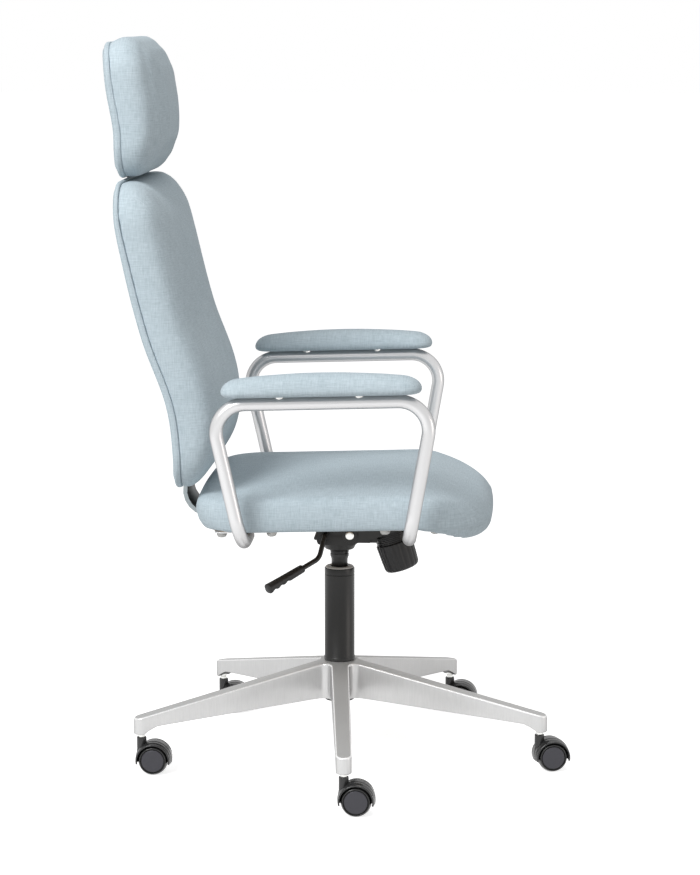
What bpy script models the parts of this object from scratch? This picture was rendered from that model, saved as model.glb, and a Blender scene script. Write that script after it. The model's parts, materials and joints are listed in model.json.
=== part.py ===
"""Office chair on a five-leg cast base, with a gas lift, a tilting seat, arm loops and a padded headrest.

The chair stands on z = 0 and faces -Y. Lengths are in metres.
"""
from math import atan, cos, hypot, pi, radians, sin, sqrt, tan

import bmesh
import bpy
from mathutils import Matrix, Vector

# Fits
FIT = 0.0003                     # gap between pieces that touch
RUN = 0.0005                     # gap round a piece that turns or slides

# Castors
WHEEL_RADIUS = 0.0255
WHEEL_WIDTH = 0.0175
WHEEL_STEPS = 16                 # facets round a wheel, one of them flat on the floor
CAP_RADIUS = 0.020
WELL_GAP = 0.002                 # between the tread and the inside of the hood
HOOD_WALL = 0.003
HOOD_OVERHANG = 0.0015           # hood past the wheel's outer face
HOOD_CROWN = 0.0022              # fall of the hood from its middle to its rims
HOOD_SKIRT = 0.006               # hood edge below the axle
WEB_THICKNESS = 0.005
AXLE_RADIUS = 0.003
AXLE_DEPTH = 0.0145              # axle inside each wheel
TRAIL = 0.0205                   # castor stem to axle
CASTOR_TURNS = [radians(turn) for turn in (0, 12, -5, 4, 0)]   # how each castor happens to stand
STEM_RADIUS = 0.0055
STEM_INSERT = 0.024              # stem inside the leg
STEM_FOOT = 0.017                # stem inside the castor
NECK_WALL = 0.0027
STEM_SHOW = 0.0055               # bare stem between the castor and the leg

# Base star
LEG_COUNT = 5
LEG_TURN = radians(4.6)          # how far the base is turned on the floor
STEM_CIRCLE = 0.3547
BOSS_CLEARANCE = 0.0125          # hood top to the underside of the boss
BOSS_HEIGHT = 0.0305
BOSS_RADIUS = 0.0122
LEG_RISE = 0.0705                # hub top above the tip's top
HUB_DEPTH = 0.064                # leg height at the hub
TIP_DEPTH = 0.0165               # leg height just before the boss
HUB_HALF = 0.0155                # half a leg's width at the hub
CROTCH_RADIUS = 0.015            # fillet between two legs
BOSS_INSIDE = 0.0078             # boss underside from the stem axis inward
HEEL_LENGTH = 0.026              # hollow fillet from the leg into the boss
LEG_EDGE = 0.0025                # rounding along the top edges
LEG_WALL = 0.004                 # wall round the channel under a leg

# Column
TUBE_RADIUS = 0.025
TUBE_WALL = 0.002
TUBE_SHOW = 0.165                # tube above the hub
TUBE_FLOOR = 0.004
TUBE_DROP = 0.006                # tube below the hub
SKIRT_HEIGHT = 0.005             # ring where the tube enters the hub
SKIRT_WALL = 0.0012
GROOVE_DOWN = 0.011              # groove below the tube's top
GUIDE_LENGTH = 0.070
GUIDE_LIP = 0.0022
CYLINDER_RADIUS = 0.014
CYLINDER_WALL = 0.0015
CYLINDER_SHOW = 0.018            # cylinder between the tube and the collar
CYLINDER_LENGTH = 0.275
CYLINDER_TAPER = 0.0008          # how much thinner the top of the cylinder is
COLLAR_RADIUS = 0.016
COLLAR_HEIGHT = 0.0165
ROD_RADIUS = 0.005
ROD_LENGTH = 0.155
PISTON_HEIGHT = 0.012
BEARING_RADIUS = 0.0125
BEARING_HEIGHT = 0.008
CLIP_RADIUS = 0.009
CLIP_THICKNESS = 0.0016
CLIP_GROOVE = 0.001

# Tilt mechanism
SOCKET_WALL = 0.002
CONE_RADIUS = 0.019
CONE_SPREAD = 0.0115
CONE_HEIGHT = 0.010
PIVOT_HEIGHT = 0.018             # tilt axis above the housing's floor
PIN_RADIUS = 0.0038
PIN_HEAD = 0.0075
PIN_HEAD_HEIGHT = 0.003
TRAY_HALF = 0.050                # half the housing's width
TRAY_WALL = 0.003
TRAY_REAR = 0.036                # housing behind the column's axis
TRAY_STEP = 0.0045               # front floor above the rear floor
TRAY_LIP = 0.0035                # rolled lip at the rear
TILT_RANGE = radians(15)
TILT_CLEARANCE = 0.0025          # housing to the plate at the end of the tilt
PLATE_THICKNESS = 0.003
PLATE_FRONT = 0.112              # plate ahead of the tilt axis
PLATE_REAR = 0.074
PLATE_HALF = 0.078
EAR_RADIUS = 0.0135
EAR_SPREAD = 0.025
SEAT_PITCH = radians(1.6)        # front of the seat up
SEAT_HEIGHT = 0.0449             # seat underside above the tilt axis

# Tension knob
KNOB_LEAN = radians(18)
KNOB_FORWARD = 0.0728            # knob's top ahead of the tilt axis
KNOB_DROP = 0.019                # knob's top below the tilt axis
KNOB_RADIUS = 0.032
KNOB_TAPER = 0.002
KNOB_HEIGHT = 0.0505
KNOB_FLUTES = 18
KNOB_FLUTE_DEPTH = 0.0008
COVER_RADIUS = 0.0302
COVER_HEIGHT = 0.0215
COVER_RIBS = 5
COVER_RIB_DEPTH = 0.0018
SCREW_RADIUS = 0.005
SCREW_REACH = 0.012              # tension screw above the spring seat

# Height lever
LEVER_RADIUS = 0.0037
LEVER_BACK = 0.0411              # lever shaft behind the tilt axis
LEVER_UP = 0.003
LEVER_INSIDE = 0.016             # shaft inside the housing
LEVER_STUB = 0.017               # straight shaft outside the housing
LEVER_DROP = 0.0345
LEVER_OUT = 0.030                # how far the bent part runs out
LEVER_SWEEP = radians(46)        # grip's turn from sideways to rearward
LEVER_FALL = radians(18.5)       # grip's slope
LEVER_ARM = 0.032                # bare rod before the grip
LEVER_BEND = 0.012
GRIP_LENGTH = 0.090
GRIP_HALF_WIDTH = 0.008
GRIP_HALF_HEIGHT = 0.0062
BUTTON_RADIUS = 0.004
BUTTON_HEIGHT = 0.012
BUTTON_PRESS = 0.004

# Seat
PAN_THICKNESS = 0.012
PAN_INSET = 0.019                # cushion past the board's edge
SEAT_HALF_WIDTH = 0.2565
SEAT_FRONT = 0.2413              # ahead of the tilt axis
SEAT_REAR = 0.2372
SEAT_REAR_CORNER = 0.070
SEAT_FRONT_CORNER = 0.130
PAN_REAR_CORNER = 0.040
PAN_FRONT_CORNER = 0.100
SEAT_EDGE = 0.0565               # cushion height at its shoulder
SEAT_CROWN = 0.0155              # rise from the shoulder to the middle
SEAT_NOSE = 0.035                # droop of the front edge
NOSE_LENGTH = 0.120
NOSE_ROUND = 0.036               # how far the front turns in below
NOSE_ROUND_HEIGHT = 0.042
END_ROUND = 0.008                # inset at which a cushion's fuller ends start
SEAT_TAIL = 0.010                # rear shoulder behind the rear edge
SEAT_BOW = 0.011                 # middle of the rear edge behind its ends

# Arms
ARM_GAP = 0.0395                 # middle of the arm tube outside the seat
ARM_TUBE = 0.011
ARM_TOP = 0.2634                 # top run above the tilt axis
ARM_FOOT_REAR = 0.1586           # feet behind and ahead of the tilt axis
ARM_FOOT_FRONT = 0.1092
ARM_LEAN_REAR = 0.195            # outward lean of the legs, run over rise
ARM_LEAN_FRONT = 0.205
ARM_BEND = 0.0475
ARM_FOOT_BEND = 0.050
ARM_REACH = 0.101                # tube run under the seat
FOOT_LENGTH = 0.104
FOOT_WIDTH = 0.036
FOOT_THICKNESS = 0.003
FOOT_WELD = 0.0006               # tube sunk into its foot plate
BOLT_SPACING = 0.082
BOLT_RADIUS = 0.003
BOLT_HEAD = 0.008
BOLT_HEAD_HEIGHT = 0.0072
BOLT_LENGTH = 0.013
PAD_LENGTH = 0.325
PAD_HALF_WIDTH = 0.032
PAD_END_FLAT = 0.002             # half the straight part across each end
PAD_HEIGHT = 0.0368
PAD_REAR = 0.1860                # pad's rear end behind the tilt axis
PAD_LIFT = 0.0016                # pad above the tube
STUD_SPACING = 0.1272
STUD_RADIUS = 0.0082
STUD_SADDLE = 0.0042             # collar down the tube's sides
STUD_SHANK = 0.0028
STUD_DEPTH = 0.008

# Back and headrest, with their side profile as (behind, above) the tilt axis
BACK_PROFILE = ((0.2676, 0.100), (0.2617, 0.1685), (0.2703, 0.2557), (0.3054, 0.3638),
                (0.3352, 0.4977), (0.3463, 0.560), (0.3485, 0.625), (0.3480, 0.6629),
                (0.3478, 0.6994), (0.3572, 0.7642), (0.3620, 0.8134), (0.3675, 0.860))
BACK_BOTTOM = 0.1074
BACK_TOP = 0.6150
BACK_INSET = 0.0215              # back's side inside the seat's side
BACK_CORNER = 0.072
BACK_EDGE = 0.058                # cushion depth at its shoulder
BACK_CROWN = 0.022
BACK_LOW_END = (0.130, 0.53)     # height over which the lower end thins, and the share it loses
BACK_HIGH_END = (0.080, 0.25)
BACK_FULLNESS = 0.40
BACK_PANEL_END = (0.200, 0.50)
HEAD_GAP = 0.0015                # headrest above the back
HEAD_TOP = 0.8484
HEAD_HALF_WIDTH = 0.165
HEAD_CORNER = 0.062
HEAD_EDGE = 0.056
HEAD_CROWN = 0.020
HEAD_LOW_END = (0.145, 0.30)
HEAD_HIGH_END = (0.075, 0.20)
HEAD_FULLNESS = 0.42
HEAD_PANEL_END = (0.120, 0.35)
HEAD_DIP = 0.008                 # seam below the top of the cushion
DIP_DEPTH = 0.034
SHELL_THICKNESS = 0.0125
SHELL_CROWN = 0.008              # rise of a rear panel from its edges to its middle
BRACKET_THICKNESS = 0.008
BRACKET_HALF_WIDTH = 0.050
BAR_DEPTH = 0.50                 # middle of the bracket and the headrest bar, as a share of the panel
BRACKET_FRONT = 0.085            # start of the bracket behind the tilt axis
BRACKET_BEND = 0.040
BRACKET_LEAN = 0.0075            # bend of the bracket behind the foot of the back
BRACKET_TOP = 0.260
HEAD_BAR_THICKNESS = 0.004
HEAD_BAR_HALF_WIDTH = 0.045
HEAD_BAR_BOTTOM = 0.500
HEAD_BAR_TOP = 0.740

# Heights that follow from the stack, floor upward
AXLE_HEIGHT = WHEEL_RADIUS * cos(pi / WHEEL_STEPS)
WELL_RADIUS = WHEEL_RADIUS + WELL_GAP
HOOD_RADIUS = WELL_RADIUS + HOOD_WALL
WHEEL_INSIDE = WEB_THICKNESS / 2 + RUN
WHEEL_OUTSIDE = WHEEL_INSIDE + WHEEL_WIDTH
HOOD_HALF = WHEEL_OUTSIDE + HOOD_OVERHANG
NECK_RADIUS = STEM_RADIUS + NECK_WALL
BOSS_BASE = AXLE_HEIGHT + HOOD_RADIUS + BOSS_CLEARANCE
NECK_TOP = BOSS_BASE - STEM_SHOW
TIP_TOP = BOSS_BASE + BOSS_HEIGHT
HUB_TOP = TIP_TOP + LEG_RISE
HUB_BASE = HUB_TOP - HUB_DEPTH
TIP_BASE = TIP_TOP - TIP_DEPTH
TUBE_TOP = HUB_TOP + TUBE_SHOW
TUBE_BASE = HUB_BASE - TUBE_DROP
TUBE_BORE = TUBE_RADIUS - TUBE_WALL
COLLAR_BASE = TUBE_TOP + CYLINDER_SHOW
CONE_BASE = COLLAR_BASE + COLLAR_HEIGHT + FIT
CYLINDER_TOP = CONE_BASE + 0.044
CYLINDER_BASE = CYLINDER_TOP - CYLINDER_LENGTH
FLOOR_TOP = TUBE_BASE + TUBE_FLOOR
TRAY_BASE = CONE_BASE + CONE_HEIGHT
PIVOT_Z = TRAY_BASE + PIVOT_HEIGHT
SOCKET_RADIUS = CYLINDER_RADIUS + FIT + SOCKET_WALL
PIVOT_Y = -(SOCKET_RADIUS + RUN + PIN_RADIUS)
EAR_INSIDE = TRAY_HALF + RUN
EAR_OUTSIDE = EAR_INSIDE + PLATE_THICKNESS
PLATE_TOP = SEAT_HEIGHT - FIT
PLATE_BASE = PLATE_TOP - PLATE_THICKNESS
FOOT_BASE = SEAT_HEIGHT - FIT - FOOT_THICKNESS
FOOT_TUBE = FOOT_BASE - ARM_TUBE + FOOT_WELD
ARM_SPREAD = SEAT_HALF_WIDTH + ARM_GAP
FOOT_X = ARM_SPREAD - ARM_REACH + FOOT_WIDTH / 2
PAD_BASE = ARM_TOP + ARM_TUBE + PAD_LIFT
PAD_MIDDLE = PAD_REAR - PAD_LENGTH / 2
BACK_HALF_WIDTH = SEAT_HALF_WIDTH - BACK_INSET
HEAD_BOTTOM = BACK_TOP + HEAD_GAP

# The middle of the floor outline is the part's origin
NEAR_REACH = STEM_CIRCLE * cos(LEG_TURN) + HOOD_HALF
FAR_REACH = ARM_SPREAD + PAD_HALF_WIDTH
FRONT_REACH = STEM_CIRCLE * cos(radians(18) - LEG_TURN) + TRAIL + HOOD_RADIUS
BACK_REACH = PIVOT_Y + BACK_PROFILE[-2][0] + SHELL_THICKNESS + SHELL_CROWN + HEAD_TOP * sin(SEAT_PITCH)
COLUMN_X = (NEAR_REACH - FAR_REACH) / 2
COLUMN_Y = (FRONT_REACH - BACK_REACH) / 2


for old in list(bpy.data.objects):
    bpy.data.objects.remove(old, do_unlink=True)

chair = bpy.data.collections.new("office_chair")
workshop = bpy.data.collections.new("office_chair_cutters")
bpy.context.scene.collection.children.link(chair)
bpy.context.scene.collection.children.link(workshop)


def material(name, colour, roughness, metallic=0.0):
    made = bpy.data.materials.new(name)
    made.use_nodes = True
    shader = made.node_tree.nodes["Principled BSDF"]
    shader.inputs["Base Color"].default_value = (*colour, 1.0)
    shader.inputs["Roughness"].default_value = roughness
    shader.inputs["Metallic"].default_value = metallic
    made.diffuse_color = (*colour, 1.0)
    return made


FABRIC = material("blue_grey_fabric", (0.42, 0.52, 0.57), 0.9)
ALUMINIUM = material("cast_aluminium", (0.62, 0.62, 0.62), 0.42, 1.0)
SILVER = material("silver_coated_steel", (0.72, 0.72, 0.71), 0.38, 0.6)
BLACK_STEEL = material("black_steel", (0.035, 0.035, 0.036), 0.45, 0.2)
BLACK_PLASTIC = material("black_plastic", (0.03, 0.03, 0.032), 0.5)
GREY_PLASTIC = material("grey_plastic", (0.55, 0.55, 0.54), 0.5)
WHEEL_PLASTIC = material("wheel_plastic", (0.06, 0.06, 0.063), 0.55)
ZINC = material("zinc_steel", (0.75, 0.75, 0.73), 0.3, 1.0)
SLATE = material("slate_coated_steel", (0.20, 0.22, 0.24), 0.5, 0.2)
BOARD = material("birch_board", (0.55, 0.42, 0.28), 0.7)


def tidy(mesh, distance=1e-5):
    """Weld loose caps and point every face outward."""
    work = bmesh.new()
    work.from_mesh(mesh)
    bmesh.ops.remove_doubles(work, verts=work.verts, dist=distance)
    bmesh.ops.recalc_face_normals(work, faces=work.faces)
    work.to_mesh(mesh)
    work.free()
    return mesh


def evaluated(obj):
    """Take an object's mesh with its modifiers, and remove the object."""
    bpy.context.view_layer.update()
    graph = bpy.context.evaluated_depsgraph_get()
    mesh = bpy.data.meshes.new_from_object(obj.evaluated_get(graph))
    bpy.data.objects.remove(obj, do_unlink=True)
    return tidy(mesh)


def on_bench(data, name="work"):
    obj = bpy.data.objects.new(name, data)
    workshop.objects.link(obj)
    obj.hide_render = True
    obj.display_type = "WIRE"
    return obj


def moved(mesh, matrix):
    mesh.transform(matrix)
    if matrix.determinant() < 0:
        mesh.flip_normals()
    return mesh


def shifted(mesh, x=0.0, y=0.0, z=0.0):
    return moved(mesh, Matrix.Translation((x, y, z)))


def combined(mesh, tools, operation):
    """Boolean of one mesh with each of the tools in turn."""
    for tool in tools:
        body = on_bench(mesh)
        cutter = on_bench(tool)
        step = body.modifiers.new("Boolean", "BOOLEAN")
        step.operation = operation
        step.solver = "EXACT"
        step.object = cutter
        mesh = evaluated(body)
        bpy.data.objects.remove(cutter, do_unlink=True)
    return mesh


def cut(mesh, *tools):
    return combined(mesh, tools, "DIFFERENCE")


def fused(mesh, *tools):
    return combined(mesh, tools, "UNION")


def shared(mesh, *tools):
    return combined(mesh, tools, "INTERSECT")


def gathered(meshes):
    """Separate bodies in one mesh, for a cutter that repeats."""
    work = bmesh.new()
    for mesh in meshes:
        work.from_mesh(mesh)
    mesh = bpy.data.meshes.new("gathered")
    work.to_mesh(mesh)
    work.free()
    return mesh


def box(x0, x1, y0, y1, z0, z1):
    work = bmesh.new()
    bmesh.ops.create_cube(work, size=1.0)
    for vert in work.verts:
        x, y, z = vert.co
        vert.co = (x0 if x < 0 else x1, y0 if y < 0 else y1, z0 if z < 0 else z1)
    mesh = bpy.data.meshes.new("box")
    work.to_mesh(mesh)
    work.free()
    return mesh


def cylinder(radius, z0, z1, x=0.0, y=0.0, steps=16):
    work = bmesh.new()
    bmesh.ops.create_cone(work, cap_ends=True, segments=steps, radius1=radius, radius2=radius, depth=z1 - z0)
    mesh = bpy.data.meshes.new("cylinder")
    work.to_mesh(mesh)
    work.free()
    return shifted(mesh, x, y, (z0 + z1) / 2)


def turned(profile, steps, closed=False):
    """Turn (radius, height) points round the Z axis; an open profile starts and ends on the axis."""
    outline = bpy.data.meshes.new("profile")
    edges = [(i, i + 1) for i in range(len(profile) - 1)]
    if closed:
        edges.append((len(profile) - 1, 0))
    outline.from_pydata([(r, 0.0, z) for r, z in profile], edges, [])
    obj = on_bench(outline)
    screw = obj.modifiers.new("Screw", "SCREW")
    screw.axis = "Z"
    screw.angle = 2 * pi
    screw.steps = steps
    screw.render_steps = steps
    screw.use_merge_vertices = True
    screw.merge_threshold = 0.0001
    return evaluated(obj)


def plate(points, thickness):
    """A flat outline in XY, thickened evenly about z = 0."""
    curve = bpy.data.curves.new("outline", "CURVE")
    curve.dimensions = "2D"
    curve.fill_mode = "BOTH"
    curve.extrude = thickness / 2
    spline = curve.splines.new("POLY")
    spline.points.add(len(points) - 1)
    for knot, (x, y) in zip(spline.points, points):
        knot.co = (x, y, 0.0, 1.0)
    spline.use_cyclic_u = True
    return evaluated(on_bench(curve))


def side_plate(points, x0, x1):
    """A flat outline given as (y, z) points, running from x0 to x1."""
    turn = Matrix(((0, 0, 1, (x0 + x1) / 2), (1, 0, 0, 0), (0, 1, 0, 0), (0, 0, 0, 1)))
    return moved(plate(points, x1 - x0), turn)


def rod(points, radius, roundness=3):
    """A round bar along a list of points."""
    curve = bpy.data.curves.new("rod", "CURVE")
    curve.dimensions = "3D"
    curve.bevel_depth = radius
    curve.bevel_resolution = roundness
    curve.use_fill_caps = True
    spline = curve.splines.new("POLY")
    spline.points.add(len(points) - 1)
    for knot, point in zip(spline.points, points):
        knot.co = (*point, 1.0)
    return evaluated(on_bench(curve))


def rounded_path(corners, radii, steps=6):
    """A path through 3-D corners, each inner one rounded by its radius."""
    corners = [Vector(corner) for corner in corners]
    path = [corners[0]]
    for before, corner, after, radius in zip(corners, corners[1:], corners[2:], radii):
        arrive = (corner - before).normalized()
        leave = (after - corner).normalized()
        bend = arrive.angle(leave)
        middle = corner + (leave - arrive).normalized() * (radius / cos(bend / 2))
        start = corner - arrive * (radius * tan(bend / 2)) - middle
        axis = arrive.cross(leave).normalized()
        for step in range(steps + 1):
            path.append(middle + Matrix.Rotation(bend * step / steps, 3, axis) @ start)
    path.append(corners[-1])
    return path


def bar_outline(path, thickness):
    """Outline of a flat bar whose middle line is a list of (y, z) points."""
    left, right = [], []
    for i, (y, z) in enumerate(path):
        y0, z0 = path[max(i - 1, 0)]
        y1, z1 = path[min(i + 1, len(path) - 1)]
        run = hypot(y1 - y0, z1 - z0)
        across = ((z0 - z1) / run * thickness / 2, (y1 - y0) / run * thickness / 2)
        left.append((y + across[0], z + across[1]))
        right.append((y - across[0], z - across[1]))
    return left + right[::-1]


def inset(points, amount):
    """Move each side of an anticlockwise outline inward."""
    sides = []
    for (x0, y0), (x1, y1) in zip(points, points[1:] + points[:1]):
        run = hypot(x1 - x0, y1 - y0)
        along = ((x1 - x0) / run, (y1 - y0) / run)
        sides.append((x0 - along[1] * amount, y0 + along[0] * amount, along))
    inner = []
    for (ax, ay, a), (bx, by, b) in zip(sides[-1:] + sides[:-1], sides):
        cross = a[0] * b[1] - a[1] * b[0]
        reach = ((bx - ax) * b[1] - (by - ay) * b[0]) / cross
        inner.append((ax + a[0] * reach, ay + a[1] * reach))
    return inner


def loft(sections):
    """Skin over rings of points, closed at each end by a fan to the middle of its last ring."""
    work = bmesh.new()
    rings = [[work.verts.new(point) for point in section] for section in sections]
    count = len(rings[0])
    for low, high in zip(rings, rings[1:]):
        for i in range(count):
            work.faces.new((low[i], low[(i + 1) % count], high[(i + 1) % count], high[i]))
    for ring in (rings[0], rings[-1]):
        middle = work.verts.new(sum((vert.co for vert in ring), Vector()) / count)
        for i in range(count):
            work.faces.new((ring[i], ring[(i + 1) % count], middle))
    bmesh.ops.recalc_face_normals(work, faces=work.faces)
    mesh = bpy.data.meshes.new("loft")
    work.to_mesh(mesh)
    work.free()
    return mesh


def rounded_ring(half_x, half_y, corners, corner_steps=5, side_steps=3):
    """Points anticlockwise round a rectangle with rounded corners, of one radius at +Y and one at -Y."""
    arcs = []
    for quarter, (sign_x, sign_y) in enumerate(((1, 1), (-1, 1), (-1, -1), (1, -1))):
        radius = min(corners[0] if sign_y > 0 else corners[1], half_x, half_y)
        x, y = sign_x * (half_x - radius), sign_y * (half_y - radius)
        angles = [(quarter + step / corner_steps) * pi / 2 for step in range(corner_steps + 1)]
        arcs.append([(x + radius * cos(angle), y + radius * sin(angle)) for angle in angles])
    ring = []
    for arc, after in zip(arcs, arcs[1:] + arcs[:1]):
        (x0, y0), (x1, y1) = arc[-1], after[0]
        ring += arc
        for step in range(1, side_steps):
            share = step / side_steps
            ring.append((x0 + (x1 - x0) * share, y0 + (y1 - y0) * share))
    return ring


def pillow(half_x, half_y, corners, layers, place, fullness=0.0, **steps):
    """Loft over (inset, rise) layers of one rounded outline; place() puts each point in space.

    Fullness brings the raised inner rings nearer to the outline's two ends.
    """
    sections = []
    for amount, rise in layers:
        radii = [max(corner - amount * 0.7, 0.012) for corner in corners]
        end = half_y - amount
        if rise > FIT:
            end += max(amount - END_ROUND, 0.0) * fullness
        ring = rounded_ring(half_x - amount, end, radii, **steps)
        sections.append([place(x, y, rise) for x, y in ring])
    return loft(sections)


def smooth_line(points, height):
    """Depth and slope of a smooth line through (depth, height) points."""
    for i in range(len(points) - 1):
        if height <= points[i + 1][1] or i == len(points) - 2:
            break
    slopes = []
    for k in (i, i + 1):
        low, high = points[max(k - 1, 0)], points[min(k + 1, len(points) - 1)]
        slopes.append((high[0] - low[0]) / (high[1] - low[1]))
    (y0, z0), (y1, z1) = points[i], points[i + 1]
    span = z1 - z0
    t = (height - z0) / span
    depth = ((2 * t**3 - 3 * t**2 + 1) * y0 + (t**3 - 2 * t**2 + t) * span * slopes[0]
             + (3 * t**2 - 2 * t**3) * y1 + (t**3 - t**2) * span * slopes[1])
    slope = ((6 * t**2 - 6 * t) * (y0 - y1) / span + (3 * t**2 - 4 * t + 1) * slopes[0]
             + (3 * t**2 - 2 * t) * slopes[1])
    return depth, slope


def add(name, mesh, look, parent, location=(0.0, 0.0, 0.0), rotation=(0.0, 0.0, 0.0)):
    obj = bpy.data.objects.new(name, mesh)
    chair.objects.link(obj)
    obj.parent = parent
    obj.location = location
    obj.rotation_euler = rotation
    if not mesh.materials:
        mesh.materials.append(look)
        mesh.shade_smooth()
        mesh.set_sharp_from_angle(angle=radians(35))
    return obj


def empty(name, parent, location, rotation=(0.0, 0.0, 0.0)):
    obj = bpy.data.objects.new(name, None)
    chair.objects.link(obj)
    obj.parent = parent
    obj.location = location
    obj.rotation_euler = rotation
    obj.empty_display_size = 0.05
    return obj


def across(mesh):
    """Turn a piece made about Z so that it lies about X."""
    return moved(mesh, Matrix.Rotation(pi / 2, 4, "Y"))


def leg_angles():
    return [pi + LEG_TURN + i * 2 * pi / LEG_COUNT for i in range(LEG_COUNT)]


def around(points, angle):
    return [(x * cos(angle) - y * sin(angle), x * sin(angle) + y * cos(angle)) for x, y in points]


def star_outline():
    """Plan of the base: tapered legs with round tips, joined by fillets."""
    half_angle = pi / LEG_COUNT
    taper = atan((HUB_HALF - BOSS_RADIUS) / STEM_CIRCLE)
    reach = (CROTCH_RADIUS / cos(taper) + HUB_HALF) / (sin(half_angle) + cos(half_angle) * tan(taper))
    middle = (reach * cos(half_angle), reach * sin(half_angle))
    outline = []
    for leg in leg_angles():
        tip = []
        for step in range(9):
            angle = -pi / 2 + taper + (pi - 2 * taper) * step / 8
            tip.append((STEM_CIRCLE + BOSS_RADIUS * cos(angle), BOSS_RADIUS * sin(angle)))
        first = -pi / 2 - taper
        sweep = -(pi - 2 * half_angle - 2 * taper)
        crotch = []
        for step in range(7):
            angle = first + sweep * step / 6
            crotch.append((middle[0] + CROTCH_RADIUS * cos(angle), middle[1] + CROTCH_RADIUS * sin(angle)))
        outline += around(tip + crotch, leg)
    return outline


def top_height(radius):
    """Height of the legs' top face at a distance from the column."""
    return TIP_TOP + LEG_RISE * (STEM_CIRCLE - radius) / (STEM_CIRCLE - TUBE_RADIUS)


def round_top_edges(mesh, width):
    """Round the edges between top faces and upright sides."""
    work = bmesh.new()
    work.from_mesh(mesh)
    edges = []
    for edge in work.edges:
        if len(edge.link_faces) == 2:
            lifts = sorted(face.normal.z for face in edge.link_faces)
            middle = (edge.verts[0].co + edge.verts[1].co) / 2
            if abs(lifts[0]) < 0.3 and lifts[1] > 0.9 and hypot(middle.x, middle.y) > TUBE_RADIUS + 2 * width:
                edges.append(edge)
    bmesh.ops.bevel(work, geom=edges, offset=width, segments=2, profile=0.5, affect="EDGES",
                    clamp_overlap=True)
    work.to_mesh(mesh)
    work.free()
    return tidy(mesh)


def base_star():
    bore = TUBE_RADIUS + FIT
    outer = STEM_CIRCLE + 2 * BOSS_RADIUS
    heel_end = STEM_CIRCLE - BOSS_INSIDE
    heel_start = heel_end - HEEL_LENGTH
    profile = [(bore, top_height(bore)), (outer, top_height(outer)), (outer, BOSS_BASE)]
    profile.append((heel_end, BOSS_BASE))
    for step in range(4, -1, -1):
        angle = step / 5 * pi / 2
        drop = (TIP_BASE - BOSS_BASE) * (1 - cos(angle))
        profile.append((heel_start + HEEL_LENGTH * sin(angle), TIP_BASE - drop))
    profile += [(HUB_HALF * 3, HUB_BASE), (bore, HUB_BASE)]
    facets = 8 * LEG_COUNT
    disc = moved(turned(profile, facets, closed=True), Matrix.Rotation(LEG_TURN + pi / facets, 4, "Z"))
    height = HUB_TOP - BOSS_BASE
    star = shared(disc, shifted(plate(star_outline(), height * 2), z=BOSS_BASE + height / 2))
    star = round_top_edges(star, LEG_EDGE)
    start, end = HUB_HALF * 3.6, heel_start - LEG_WALL
    channels, sockets = [], []
    for leg in leg_angles():
        channel = box(0.0, 1.0, -1.0, 1.0, 0.0, 1.0)
        for vert in channel.vertices:
            near = vert.co.x < 0.5
            radius = start if near else end
            half = (HUB_HALF if near else BOSS_RADIUS) - LEG_WALL
            height = top_height(radius) if vert.co.z > 0.5 else BOSS_BASE
            vert.co = (radius, half * vert.co.y, height - LEG_WALL)
        channels.append(moved(channel, Matrix.Rotation(leg, 4, "Z")))
        x, y = STEM_CIRCLE * cos(leg), STEM_CIRCLE * sin(leg)
        sockets.append(cylinder(STEM_RADIUS + FIT, BOSS_BASE - 0.01, BOSS_BASE + STEM_INSERT + FIT, x, y, 10))
    return cut(star, gathered(channels), gathered(sockets))


def column_tube():
    skirt_base = HUB_TOP + FIT + LEG_EDGE * 0.2
    skirt = TUBE_RADIUS + SKIRT_WALL
    groove = TUBE_TOP - GROOVE_DOWN
    profile = [
        (TUBE_BORE, TUBE_TOP), (TUBE_RADIUS - 0.0006, TUBE_TOP), (TUBE_RADIUS, TUBE_TOP - 0.0006),
        (TUBE_RADIUS, groove + 0.0008), (TUBE_RADIUS - 0.0006, groove), (TUBE_RADIUS, groove - 0.0008),
        (TUBE_RADIUS, skirt_base + SKIRT_HEIGHT), (skirt, skirt_base + SKIRT_HEIGHT - 0.001),
        (skirt, skirt_base), (TUBE_RADIUS, skirt_base), (TUBE_RADIUS, TUBE_BASE),
        (ROD_RADIUS + RUN, TUBE_BASE),
        (ROD_RADIUS + RUN, FLOOR_TOP), (TUBE_BORE, FLOOR_TOP),
    ]
    return turned(profile, 20, closed=True)


def column_guide():
    bore = CYLINDER_RADIUS + RUN
    outer = TUBE_BORE - FIT
    seat = TUBE_TOP + FIT
    profile = [
        (bore, seat + GUIDE_LIP), (TUBE_RADIUS - 0.0022, seat + GUIDE_LIP),
        (TUBE_RADIUS - 0.0012, seat + GUIDE_LIP / 2), (TUBE_RADIUS - 0.0012, seat), (outer, seat),
        (outer, TUBE_TOP - GUIDE_LENGTH), (bore, TUBE_TOP - GUIDE_LENGTH),
    ]
    return turned(profile, 20, closed=True)


def piston_rod():
    """Rod with its piston, and the groove for the clip that holds it under the tube's floor."""
    clip_top = TUBE_BASE - FIT
    clip_base = clip_top - CLIP_THICKNESS
    bottom = clip_base - 0.004
    top = bottom + ROD_LENGTH
    piston = CYLINDER_RADIUS - CYLINDER_WALL - RUN
    groove = ROD_RADIUS - CLIP_GROOVE
    profile = [
        (0.0, top), (piston, top), (piston, top - PISTON_HEIGHT), (ROD_RADIUS, top - PISTON_HEIGHT),
        (ROD_RADIUS, clip_top + FIT), (groove, clip_top + FIT), (groove, clip_base - FIT),
        (ROD_RADIUS, clip_base - FIT), (ROD_RADIUS, bottom), (0.0, bottom),
    ]
    return turned(profile, 10)


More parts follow.
